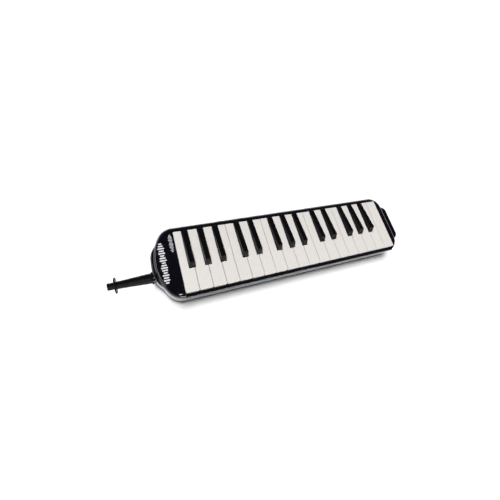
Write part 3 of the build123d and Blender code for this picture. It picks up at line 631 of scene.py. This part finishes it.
def case_outline(inset):
    """The case from above: a wide arc at the left end, rounded corners everywhere."""
    big, corner, right = 73.0 * MM, 24.0 * MM, 22.0 * MM
    reach = big - corner
    rise = HALF - corner
    middle = BODY_LEFT + big
    corner_x = middle - (reach**2 - rise**2) ** 0.5
    meet = 180 - atan2(rise, middle - corner_x) * 180 / pi
    points = arc((BODY_RIGHT - right, right - HALF), right - inset, -90, 0, 16)
    points += arc((BODY_RIGHT - right, HALF - right), right - inset, 0, 90, 16)
    points += arc((corner_x, rise), corner - inset, 90, meet, 14)
    points += arc((middle, 0), big - inset, meet, 360 - meet, 26)[1:-1]
    points += arc((corner_x, -rise), corner - inset, 360 - meet, 270, 14)
    return points


def round_box(x0, x1, y0, y1, corner, steps=8):
    """A rectangle with rounded corners."""
    points = arc((x1 - corner, y0 + corner), corner, -90, 0, steps)
    points += arc((x1 - corner, y1 - corner), corner, 0, 90, steps)
    points += arc((x0 + corner, y1 - corner), corner, 90, 180, steps)
    points += arc((x0 + corner, y0 + corner), corner, 180, 270, steps)
    return points


def tab_outline(side, inset):
    """The tab at one end of the case: softly rounded at the left, squarer at the right."""
    if side == "left":
        corner, half, steps = 30.0 * MM, 38.0 * MM, 14
        x0, x1 = case_low.x, case_low.x + TAB_DEEP
        points = [(x1 - inset, inset - half), (x1 - inset, half - inset)]
        points += arc((x0 + corner, half - corner), corner - inset, 90, 180, steps)
        return points + arc((x0 + corner, corner - half), corner - inset, 180, 270, steps)
    x0, x1, half = case_high.x - TAB_DEEP + inset, case_high.x - inset, 32.5 * MM - inset
    return round_box(x0, x1, -half, half, 11 * MM - inset)


print("outline points:", len(case_outline(0)))

# %% Upper shell
KEYS_LEFT = key_low.x - 0.25 * MM
INLET_LINE = [sum(corner[axis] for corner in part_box("inlet_seal")) / 2 for axis in (1, 2)]
DRAIN_LINE = [sum(corner[axis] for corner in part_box("drain_button")) / 2 for axis in (1, 2)]
INLET_BOSS_R, INLET_BOSS_DEEP, SOCKET_HOLE_R, DRAIN_HOLE_R = 8.5 * MM, 4.7 * MM, 6.25 * MM, 4.8 * MM
UPPER_BOSS_R, PILOT_R, PILOT_DEEP = 3.5 * MM, 1.45 * MM, 14 * MM
CASE_SCREWS = [(-18.0, 26.0), (-18.0, -26.0), (370.5, 29.0), (370.5, -29.0)]
RAIL_SCREWS = [(60.0, -43.5), (150.0, -43.5), (215.0, -43.5), (305.0, -43.5)]


def from_keys(points):
    """Places given in millimetres from the key field's left edge, in metres."""
    return [(KEYS_LEFT + x * MM, y * MM) for x, y in points]


def beaded_prism(name, outline, top, shoulder, segments):
    """Extrude an outline up from the seam: a bead, a step in, the wall, a round rim."""
    bead, step = 1.4 * MM, 0.4 * MM
    piece = from_plan(name, outline, SEAM, SEAM + bead)
    start_edit(piece)
    pick(piece, "FACE", lambda face: face.normal.z > 0.9)
    bpy.ops.mesh.inset(thickness=step, use_even_offset=True)
    bpy.ops.mesh.extrude_region_move(TRANSFORM_OT_translate={"value": (0, 0, top - SEAM - bead)})
    pick(piece, "EDGE", lambda edge: on_level(edge, top))
    bpy.ops.mesh.bevel(offset=shoulder, segments=segments, profile=0.5, affect="EDGES")
    end_edit()
    return piece


def shape_upper_shell():
    """The upper case with its tabs, hollow, opening, rail, cheeks, bosses and holes."""
    shell = beaded_prism("upper_shell", case_outline(0), TOP, SHOULDER, 12)
    for side in ("left", "right"):
        combine(shell, beaded_prism("tab", tab_outline(side, 0), TAB_TOP, 2.6 * MM, 6), "UNION")
    combine(shell, from_plan("inside", case_outline(WALL), SEAM - MM, TOP - ROOF), "DIFFERENCE")
    for side in ("left", "right"):
        inside = from_plan("inside", tab_outline(side, WALL), SEAM - MM, TAB_TOP - WALL)
        combine(shell, inside, "DIFFERENCE")
    opening = ((OPENING_LEFT, RAIL_EDGE, SEAM), (OPENING_RIGHT, OPENING_REAR, TOP + MM))
    combine(shell, block("opening", *opening), "DIFFERENCE")
    front = ((OPENING_LEFT, -HALF - MM, RAIL_TOP), (OPENING_RIGHT, RAIL_EDGE + MM, TOP + MM))
    combine(shell, block("front", *front), "DIFFERENCE")
    return shell


def round_rail(shell):
    """The ledge in front of the keys, with its outer edge rolled over."""
    roll, ledge = 3.2 * MM, 2.0 * MM
    back, out = RAIL_EDGE, -HALF + 0.4 * MM
    bend = [(out + roll + y, RAIL_TOP - roll + z) for y, z in arc((0, 0), roll, 180, 90, 6)]
    profile = [(back, RAIL_TOP), (back, RAIL_TOP - ledge), (out + roll, RAIL_TOP - ledge - roll)]
    profile += [(out + 0.2 * MM, RAIL_TOP - ledge - roll)]
    ledge_bar = from_profile("ledge", profile + bend[1:], OPENING_LEFT - MM, OPENING_RIGHT + MM)
    combine(shell, ledge_bar, "UNION")
    waste = [(out - MM, RAIL_TOP - roll), *bend, (out + roll, RAIL_TOP + MM), (out - MM, RAIL_TOP + MM)]
    combine(shell, from_profile("waste", waste, OPENING_LEFT, OPENING_RIGHT), "DIFFERENCE")


def cheek_view(half):
    """The plate that closes the shell beside the keys, seen from the side."""
    inset, foot = 0.4 * MM, DECK + 0.2 * MM
    radius = SHOULDER - inset
    centre = (half - radius, TOP - inset - radius)
    rear = arc(centre, radius, 0, 90, 8)
    return [(half, foot), *rear, *[(-y, z) for y, z in reversed(rear)], (-half, foot)]


def finish_upper_shell(shell):
    """Cheeks beside the outermost keys, screw bosses, the inlet boss and both end holes."""
    for x0, x1, half in (
        (OPENING_LEFT - 2 * MM, OPENING_LEFT, 50.9 * MM),
        (OPENING_RIGHT, OPENING_RIGHT + 2 * MM, 46.9 * MM),
    ):
        combine(shell, from_profile("cheek", cheek_view(half), x0, x1), "UNION")
        notch = ((x0 - MM, 20 * MM, DECK), (x1 + MM, 24 * MM, 33.5 * MM))
        combine(shell, block("notch", *notch), "DIFFERENCE")
    bosses = [(place, TOP - MM) for place in from_keys(CASE_SCREWS)]
    bosses += [(place, RAIL_TOP - 2 * MM) for place in from_keys(RAIL_SCREWS)]
    for place, high in bosses:
        combine(shell, upright("boss", UPPER_BOSS_R, place, SEAM, high), "UNION")
        pilot = upright("pilot", PILOT_R, place, SEAM - MM, SEAM + PILOT_DEEP, 16)
        combine(shell, pilot, "DIFFERENCE")
    left, right, (inlet_y, inlet_z) = case_low.x, case_high.x, INLET_LINE
    boss = lengthwise("inlet_boss", INLET_BOSS_R, left, left + INLET_BOSS_DEEP, INLET_LINE)
    reach = 20 * MM
    below = ((left - MM, inlet_y - reach, inlet_z - reach), (left + 5 * MM, inlet_y + reach, SEAM))
    combine(boss, block("below", *below), "DIFFERENCE")
    combine(shell, boss, "UNION")
    hole = lengthwise("hole", SOCKET_HOLE_R, left - MM, left + 6 * MM, INLET_LINE)
    combine(shell, hole, "DIFFERENCE")
    hole = lengthwise("hole", DRAIN_HOLE_R, right - 4 * MM, right + MM, DRAIN_LINE, 40)
    combine(shell, hole, "DIFFERENCE")


upper_shell = shape_upper_shell()
round_rail(upper_shell)
finish_upper_shell(upper_shell)
soften(upper_shell, 0.2 * MM, 2, 40)
wear(upper_shell, gloss_black, "gloss_black", "case", "upper_case")
print("upper shell:", len(upper_shell.data.polygons), "faces")

# %% [markdown]
# The lower shell is a shallow pan. Its wall leans in by a few degrees so that the moulding
# can leave its mould, so it is two outlines, one a little smaller, bridged by a sloping
# wall. Its rim stands back from the upper shell's bead, which leaves a fine dark seam.
# The hand recess in its back, the strap's channel and the screw holes are cut from below.

# %% Lower shell
RECESS_LEFT, RECESS_RIGHT, RECESS_HALF, RECESS_TOP = 105.0, 265.0, 38.0 * MM, 11.5 * MM
RECESS_ROUND = 10 * MM
LOWER_BOSS_R, HEAD_HOLE_R, SHANK_HOLE_R, SCREW_SEAT = 4.4 * MM, 3.1 * MM, 1.6 * MM, 4.0 * MM
CHANNEL_FLOOR = 4.4 * MM
LEAN = tan(radians(6))
GROOVE, GROOVE_FOOT = 0.5 * MM, SEAM - 0.7 * MM
strap_low, strap_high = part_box("hand_strap")


def pan(name, outline, foot, top, rounding):
    """One drafted block of the lower shell with its bottom edge rounded off."""
    piece = drafted(name, outline((top - foot) * LEAN), foot, outline(0), top)
    start_edit(piece)
    pick(piece, "EDGE", lambda edge: on_level(edge, foot))
    bpy.ops.mesh.bevel(offset=rounding, segments=6, profile=0.5, affect="EDGES")
    end_edit()
    return piece


def shape_lower_shell():
    """The pan, its two tabs and the rim under the seam, hollowed from above."""
    tabs = [lambda inset, side=side: tab_outline(side, inset) for side in ("left", "right")]
    shell = pan("lower_shell", case_outline, 0.0, GROOVE_FOOT, 2.4 * MM)
    for outline in tabs:
        combine(shell, pan("tab", outline, TAB_FOOT, GROOVE_FOOT, 2.0 * MM), "UNION")
    for outline in (case_outline, *tabs):
        combine(shell, from_plan("rim", outline(GROOVE), GROOVE_FOOT - 0.3 * MM, SEAM), "UNION")
    for outline in (case_outline, *tabs):
        floor_z = WALL if outline is case_outline else TAB_FOOT + WALL
        low, high = outline(WALL + (SEAM - floor_z) * LEAN), outline(WALL - MM * LEAN)
        combine(shell, drafted("inside", low, floor_z, high, SEAM + MM), "DIFFERENCE")
    return shell


def cut_back(shell):
    """Hand recess with its ceiling, strap channel, screw bosses and their counterbores."""
    x0, x1 = KEYS_LEFT + RECESS_LEFT * MM, KEYS_LEFT + RECESS_RIGHT * MM
    wall, half = 2 * MM, RECESS_HALF
    outside = round_box(x0 - wall, x1 + wall, -half - wall, half + wall, RECESS_ROUND + wall)
    combine(shell, from_plan("box", outside, MM, RECESS_TOP + wall), "UNION")
    left, right, side = strap_low.x - MM, strap_high.x + MM, strap_high.y + 0.5 * MM
    around = ((left - 3 * MM, -side - 1.5 * MM, MM), (right + 3 * MM, side + 1.5 * MM, CHANNEL_FLOOR))
    combine(shell, block("channel_floor", *around), "UNION")
    inside = round_box(x0, x1, -half, half, RECESS_ROUND)
    combine(shell, from_plan("recess", inside, -MM, RECESS_TOP), "DIFFERENCE")
    channel = ((left, -side, -MM), (right, side, strap_high.z))
    combine(shell, block("channel", *channel), "DIFFERENCE")
    for place in from_keys(CASE_SCREWS + RAIL_SCREWS):
        combine(shell, upright("boss", LOWER_BOSS_R, place, MM, SEAM), "UNION")
        combine(shell, upright("head_hole", HEAD_HOLE_R, place, -MM, SCREW_SEAT), "DIFFERENCE")
        combine(shell, upright("shank_hole", SHANK_HOLE_R, place, MM, SEAM + MM, 16), "DIFFERENCE")


lower_shell = shape_lower_shell()
cut_back(lower_shell)
soften(lower_shell, 0.2 * MM, 2, 40)
wear(lower_shell, gloss_black, "gloss_black", "case", "lower_case")
print("lower shell:", len(lower_shell.data.polygons), "faces")

# %% [markdown]
# A white key is a thin moulded cap, wide in front and narrow where it runs back between
# the black keys. We extrude its outline, bevel the top edge so that it catches a soft
# line of light, and hollow it from below. Behind it hangs the lever: two ribs with the
# hole for the pivot rod, and a tail that presses a felt pad on its valve. Keys of the
# same shape are made once and copied, each copy with its own mesh.

# %% White keys
KEY_NAMES = [f"key_{number:02d}" for number in range(1, 33)]
BLACKS = [name for name in KEY_NAMES if slot_of[name] == "satin_black"]
KEY_TOP, KEY_SKIRT, KEY_ROOF, SKIN = key_high.z, 33.0 * MM, 36.3 * MM, 1.5 * MM
KEY_FRONT, KEY_REAR, KEY_CORNER = key_low.y, 42.9 * MM, 1.7 * MM
NECK_GAP, NOTCH = 0.45 * MM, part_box(BLACKS[0])[0].y - 0.8 * MM
RIB_FRONT, RIB_REAR, RIB_FOOT = 14.0 * MM, 30.0 * MM, 29.0 * MM
TAIL_REAR, TAIL_FOOT, TAIL_TOP = key_high.y, 30.0 * MM, 33.6 * MM
PIVOT_LINE, BORE = (22.0 * MM, 31.5 * MM), 1.3 * MM
PAD_INSET, PAD_FRONT, PAD_REAR = 1.2 * MM, 30.8 * MM, 42.8 * MM


def neck_edges(index):
    """Where a white key's narrow part begins and ends between its black neighbours."""
    low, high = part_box(KEY_NAMES[index])
    left, right = low.x, high.x
    if index > 0 and KEY_NAMES[index - 1] in BLACKS:
        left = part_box(KEY_NAMES[index - 1])[1].x + NECK_GAP
    if index < 31 and KEY_NAMES[index + 1] in BLACKS:
        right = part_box(KEY_NAMES[index + 1])[0].x - NECK_GAP
    return left, right


def white_outline(x0, x1, left, right, inset):
    """A white key from above, going anticlockwise from its front left corner."""
    round_by, front = KEY_CORNER - inset, KEY_FRONT + inset
    x0, x1, left, right = x0 + inset, x1 - inset, left + inset, right - inset
    points = arc((x0 + round_by, front + round_by), round_by, 180, 270, 5)
    points += arc((x1 - round_by, front + round_by), round_by, 270, 360, 5)
    if right < x1 - MM / 10:
        points += [(x1, NOTCH - inset), (right, NOTCH - inset)]
    points += [(right, KEY_REAR - inset), (left, KEY_REAR - inset)]
    if left > x0 + MM / 10:
        points += [(left, NOTCH - inset), (x0, NOTCH - inset)]
    return points


def add_lever(key, left, right):
    """Ribs around the pivot and a hollow tail over the valve, behind and under a key."""
    x0, x1 = left + SKIN, right - SKIN
    for low, high, operation in (
        ((left, RIB_FRONT, RIB_FOOT), (right, RIB_REAR, TAIL_TOP), "UNION"),
        ((left, RIB_REAR - MM / 10, TAIL_FOOT), (right, TAIL_REAR, TAIL_TOP), "UNION"),
        ((x0, RIB_FRONT - MM / 10, RIB_FOOT - MM), (x1, RIB_REAR, KEY_ROOF), "DIFFERENCE"),
        ((x0, RIB_REAR, TAIL_FOOT + 2 * MM), (x1, TAIL_REAR - SKIN, TAIL_TOP + MM / 10), "DIFFERENCE"),
    ):
        combine(key, block("lever", low, high), operation)
    combine(key, lengthwise("bore", BORE, left - MM, right + MM, PIVOT_LINE, 20), "DIFFERENCE")


def shape_white_key(name, x0, x1, left, right):
    """One white key with its lever."""
    key = from_plan(name, white_outline(x0, x1, left, right, 0), KEY_SKIRT, KEY_TOP)
    start_edit(key)
    pick(key, "EDGE", lambda edge: on_level(edge, KEY_TOP))
    bpy.ops.mesh.bevel(offset=0.55 * MM, segments=3, profile=0.5, affect="EDGES")
    end_edit()
    inside = from_plan("inside", white_outline(x0, x1, left, right, SKIN), KEY_SKIRT - MM, KEY_ROOF)
    combine(key, inside, "DIFFERENCE")
    add_lever(key, left, right)
    soften(key, 0, angle=30)
    return key


white_keys, made = {}, {}
for index, name in enumerate(KEY_NAMES):
    if name in BLACKS:
        continue
    low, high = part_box(name)
    left, right = neck_edges(index)
    shape = (round((left - low.x) / MM, 2), round((high.x - right) / MM, 2))
    if shape in made:
        pattern, home = made[shape]
        white_keys[name] = copy_along(pattern, f"white_{name}", low.x - home)
    else:
        white_keys[name] = shape_white_key(f"white_{name}", low.x, high.x, left, right)
        made[shape] = (white_keys[name], low.x)
for name, key in white_keys.items():
    wear(key, ivory, "ivory", f"{name}_lever", name)
print(len(white_keys), "white keys from", len(made), "shapes")

# %% [markdown]
# A black key is seen from the side as a long wedge: its top rises gently to the front and
# then drops in a steep slope. Real ones are a little narrower on top, so after extruding
# the side view we split it at the height of the white keys and draw the top in. All black
# keys are alike, so one is modelled and copied.

# %% Black keys
first_low, first_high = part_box(BLACKS[0])
CREST_Y, CREST_Z, REAR_Z = first_low.y + 5.3 * MM, first_high.z, 40.0 * MM


def shape_black_key(name):
    """The first black key, drawn as a side view, narrowed and rounded, with its lever."""
    left, right, front = first_low.x, first_high.x, first_low.y
    profile = [(front, KEY_SKIRT), (KEY_REAR, KEY_SKIRT), (KEY_REAR, REAR_Z)]
    profile += [(CREST_Y, CREST_Z), (front, KEY_TOP)]
    key = from_profile(name, profile, left, right)
    start_edit(key)
    bpy.ops.mesh.select_all(action="SELECT")
    bpy.ops.mesh.bisect(plane_co=(0, 0, KEY_TOP), plane_no=(0, 0, 1))
    middle = ((left + right) / 2, 0, 0)
    for level, factor in ((CREST_Z, 0.84), (REAR_Z, 0.97)):
        pick(key, "EDGE", lambda edge: on_level(edge, level))
        bpy.ops.transform.resize(value=(factor, 1, 1), center_override=middle)
    end_edit()
    only(key)
    step = key.modifiers.new("round", "BEVEL")
    step.width, step.segments, step.angle_limit = 0.7 * MM, 4, radians(30)
    bpy.ops.object.modifier_apply(modifier=step.name)
    hollow = ((left + SKIN, front + SKIN, KEY_SKIRT - MM), (right - SKIN, KEY_REAR - SKIN, KEY_ROOF))
    combine(key, block("inside", *hollow), "DIFFERENCE")
    add_lever(key, left, right)
    soften(key, 0, angle=30)
    return key


black_keys = {BLACKS[0]: shape_black_key(f"black_{BLACKS[0]}")}
for name in BLACKS[1:]:
    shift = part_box(name)[0].x - first_low.x
    black_keys[name] = copy_along(black_keys[BLACKS[0]], f"black_{name}", shift)
for name, key in black_keys.items():
    wear(key, key_black, "satin_black", f"{name}_lever", name)
print(len(black_keys), "black keys")

# %% [markdown]
# Under each tail sits a soft pad of felt that seals its valve: a block with rounded
# edges, one for each key.

# %% Valve pads
for index, name in enumerate(KEY_NAMES):
    low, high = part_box(name)
    left, right = (low.x, high.x) if name in BLACKS else neck_edges(index)
    corners = ((left + PAD_INSET, PAD_FRONT, DECK), (right - PAD_INSET, PAD_REAR, TAIL_FOOT))
    pad = block(f"pad_{name}", *corners)
    soften(pad, 0.5 * MM, 3)
    wear(pad, felt, "felt", f"{name}_lever", name)
print(len(KEY_NAMES), "pads")

# %% [markdown]
# On the real case a name is printed in pale ink on the left end panel. Here the print is a
# plain row of round-ended bars, like the trace of a sound, that spells nothing. Ink has
# hardly any thickness, so each bar is a flat outline raised a few hundredths of a
# millimetre above the panel.

# %% Printed bars
INK_LOW, INK_HIGH = TOP - 0.02 * MM, TOP + 0.03 * MM
ink, _ = plain_finish("ink", (0.62, 0.63, 0.65), (0.56, 0.57, 0.59), 0.35, 0.5, 0.1)


def ink_bar(x, y, long, wide):
    """One flat bar with round ends, long in X, around its middle."""
    outline = round_box(x - long / 2, x + long / 2, y - wide / 2, y + wide / 2, wide / 2 - MM / 100, 5)
    return from_plan("bar", outline, INK_LOW, INK_HIGH)


def ink_row(name, x, start_y, pitch, wide, lengths):
    """A row of bars down the panel, all centred on one line."""
    bars = [ink_bar(x, start_y - i * pitch, long * MM, wide) for i, long in enumerate(lengths)]
    row = join(bars, name)
    wear(row, ink, "ivory", "case")
    return row


LOUD = [4.6, 6.6, 8.6, 7.0, 9.0, 6.0, 7.8, 9.0, 5.2, 7.2, 9.0, 7.6, 5.6, 8.4, 6.6, 8.2, 4.8]
QUIET = [2.4, 3.8, 5.6, 4.4, 6.0, 3.6, 5.2, 6.0, 4.0, 5.4, 3.2, 4.6, 2.6]
ink_row("printed_bars", -169.3 * MM, 28.2 * MM, pitch=3.46 * MM, wide=2.1 * MM, lengths=LOUD)
ink_row("printed_fine_bars", -154.6 * MM, 39.2 * MM, pitch=2.05 * MM, wide=0.9 * MM, lengths=QUIET)
print("printed bars:", len(LOUD) + len(QUIET))

# %% [markdown]
# The mouthpiece, its socket and the drain button are round about a line along X. Each was
# made in a mould like a turned part, so its side view is spun around that line, as on a
# lathe. The mouthpiece has a narrow tip for the lips, a flange, and a body that widens
# towards the socket. Its bore is in the same side view, so the wall has its real thickness.
# Its own shadow is switched off, which keeps the sheet under it clean.

# %% Mouthpiece, socket and drain button


def from_start(start, points):
    """A side view given in millimetres from a starting X."""
    return [(start + x * MM, radius * MM) for x, radius in points]


MOUTH_PROFILE = [
    (0, 3.0), (0, 4.3), (0.7, 4.8), (8.9, 4.8), (8.9, 10.3), (9.4, 10.8), (10.5, 10.8), (11, 10.3),
    (11, 5.2), (16.5, 5.2), (52.5, 7.15), (54.9, 7.15), (54.9, 4.95), (68.5, 4.95), (69.1, 4.35),
    (69.1, 3.6), (12, 3.0),
]
SOCKET_PROFILE = [
    (-38.5, 5.0), (-38.5, 8.0), (-38.0, 8.5), (-36.1, 8.5), (-36.1, 6.2), (-26.5, 6.2), (-26.5, 5.0),
]
BUTTON_PROFILE = [
    (360.6, 0), (360.6, 2.1), (361.8, 2.1), (361.8, 1.2), (385.8, 1.2), (385.8, 6.2), (387.4, 6.2),
    (387.4, 4.5), (391.7, 4.5), (392.5, 3.7), (392.5, 2.9), (392.1, 0),
]
mouth_view = from_start(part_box("mouthpiece")[0].x, MOUTH_PROFILE)
mouthpiece = turned("mouthpiece_turned", mouth_view, *INLET_LINE)
soften(mouthpiece, 0.25 * MM, 3, 30)
wear(mouthpiece, mouth_black, "satin_black", "mouthpiece_tube", "mouthpiece")
mouthpiece.visible_shadow = False
socket = turned("socket_turned", from_start(KEYS_LEFT, SOCKET_PROFILE), *INLET_LINE)
soften(socket, 0.2 * MM, 3, 30)
wear(socket, mouth_black, "satin_black", "case", "inlet_socket")
button = turned("button_turned", from_start(KEYS_LEFT, BUTTON_PROFILE), *DRAIN_LINE, 40)
soften(button, 0.12 * MM, 2, 30)
wear(button, mouth_black, "satin_black", "drain_valve", "drain_button")
print("turned pieces:", mouthpiece.name, socket.name, button.name)

# %% [markdown]
# The hand strap is flat woven webbing across the recess in the back. Webbing is dense, so
# its long edges are only slightly rounded. It is drawn from above and extruded by its
# thickness. The studs go through round holes near its ends, and beside them two rows of
# stitches keep the folded end together. Each stitch is a short bar with softened edges.

# %% Hand strap and its stitches
anchor_low, anchor_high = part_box("strap_anchors")
STUD_X = (strap_low.x + 8.0 * MM, strap_high.x - 8.0 * MM)
STUD_SIDES, STUD_R, STUD_HOLE_R = (-7.0 * MM, 7.0 * MM), 1.25 * MM, 1.3 * MM
STITCH_ROWS = [STUD_X[0] + 8 * MM, STUD_X[0] + 11 * MM, STUD_X[1] - 11 * MM, STUD_X[1] - 8 * MM]
STITCH_LONG, STITCH_WIDE, STITCH_PROUD, STITCH_PITCH = 2.0 * MM, 0.4 * MM, 0.15 * MM, 2.9 * MM


def shape_strap():
    """The webbing with rounded corners and its stud holes."""
    outline = round_box(strap_low.x, strap_high.x, strap_low.y, strap_high.y, 1.5 * MM)
    strap = from_plan("strap_webbing", outline, strap_low.z, strap_high.z)
    for x in STUD_X:
        for y in STUD_SIDES:
            hole = upright("hole", STUD_HOLE_R, (x, y), strap_low.z - MM, strap_high.z + MM, 20)
            combine(strap, hole, "DIFFERENCE")
    soften(strap, 0.3 * MM, 3, 40)
    return strap


def shape_stitches():
    """Two rows of stitches at each end, standing a little proud of the webbing."""
    stitches = []
    across, along = STITCH_WIDE / 2, STITCH_LONG / 2
    low, high = strap_low.z - STITCH_PROUD, strap_low.z + 0.2 * MM
    for x in STITCH_ROWS:
        for y in [(i - 3.5) * STITCH_PITCH for i in range(8)]:
            corners = ((x - across, y - along, low), (x + across, y + along, high))
            stitches.append(block("stitch", *corners))
    row = join(stitches, "strap_stitches")
    soften(row, 0.12 * MM, 2, 40)
    return row


strap = shape_strap()
wear(strap, webbing, "webbing", "case", "hand_strap")
stitches = shape_stitches()
wear(stitches, thread, "webbing", "case", "hand_strap")
print("strap:", round((strap_high.x - strap_low.x) / MM), "mm long")

# %% [markdown]
# A pressed steel plate under each end of the strap carries two studs that are riveted into
# the case. The eight case screws sit deep in round holes in the back. A cross recess is
# cut into each head by two thin blocks. One screw is modelled and the others are copies.

# %% Strap plates and case screws
RIVET_R, RIVET_PROUD, SINK = 2.1 * MM, 0.15 * MM, 0.1 * MM
SCREW_HEAD_R, SCREW_HEAD_TALL, SCREW_SHANK_R, SCREW_LONG = 2.8 * MM, 2.4 * MM, 1.4 * MM, 18 * MM
CROSS_LONG, CROSS_WIDE, CROSS_DEEP = 1.7 * MM, 0.4 * MM, 1.2 * MM


def shape_plates():
    """Both plates with softened corners, their studs and low rivet heads."""
    plates = []
    for x in STUD_X:
        corners = (x - 4.5 * MM, x + 4.5 * MM, -12 * MM, 12 * MM)
        plate = from_plan("plate", round_box(*corners, 2 * MM), anchor_low.z, strap_low.z)
        for y in STUD_SIDES:
            stud = upright("stud", STUD_R, (x, y), anchor_low.z + SINK, anchor_high.z, 20)
            combine(plate, stud, "UNION")
            head = upright("head", RIVET_R, (x, y), anchor_low.z - RIVET_PROUD, strap_low.z - SINK)
            combine(plate, head, "UNION")
        plates.append(plate)
    row = join(plates, "strap_plates")
    soften(row, 0.12 * MM, 2, 40)
    return row


def shape_screw(x, y):
    """A pan head with a cross recess and its shank."""
    foot = SCREW_SEAT - SCREW_HEAD_TALL
    screw = upright("case_screw_1", SCREW_HEAD_R, (x, y), foot, SCREW_SEAT, 32)
    shank = upright("shank", SCREW_SHANK_R, (x, y), SCREW_SEAT - MM, SCREW_SEAT + SCREW_LONG, 16)
    combine(screw, shank, "UNION")
    low, high = foot - MM, foot + CROSS_DEEP
    for long, wide in ((CROSS_LONG, CROSS_WIDE), (CROSS_WIDE, CROSS_LONG)):
        recess = block("recess", (x - long, y - wide, low), (x + long, y + wide, high))
        combine(screw, recess, "DIFFERENCE")
    soften(screw, 0.25 * MM, 2, 40)
    return screw


plates = shape_plates()
wear(plates, steel, "steel", "case", "strap_anchors")
screw_places = from_keys(CASE_SCREWS + RAIL_SCREWS)
first_x, first_y = screw_places[0]
screws = [shape_screw(first_x, first_y)]
for number, (x, y) in enumerate(screw_places[1:], start=2):
    screws.append(copy_along(screws[0], f"case_screw_{number}", x - first_x, y - first_y))
for screw in screws:
    wear(screw, steel, "steel", "case", "case_screws")
print(len(screws), "case screws")
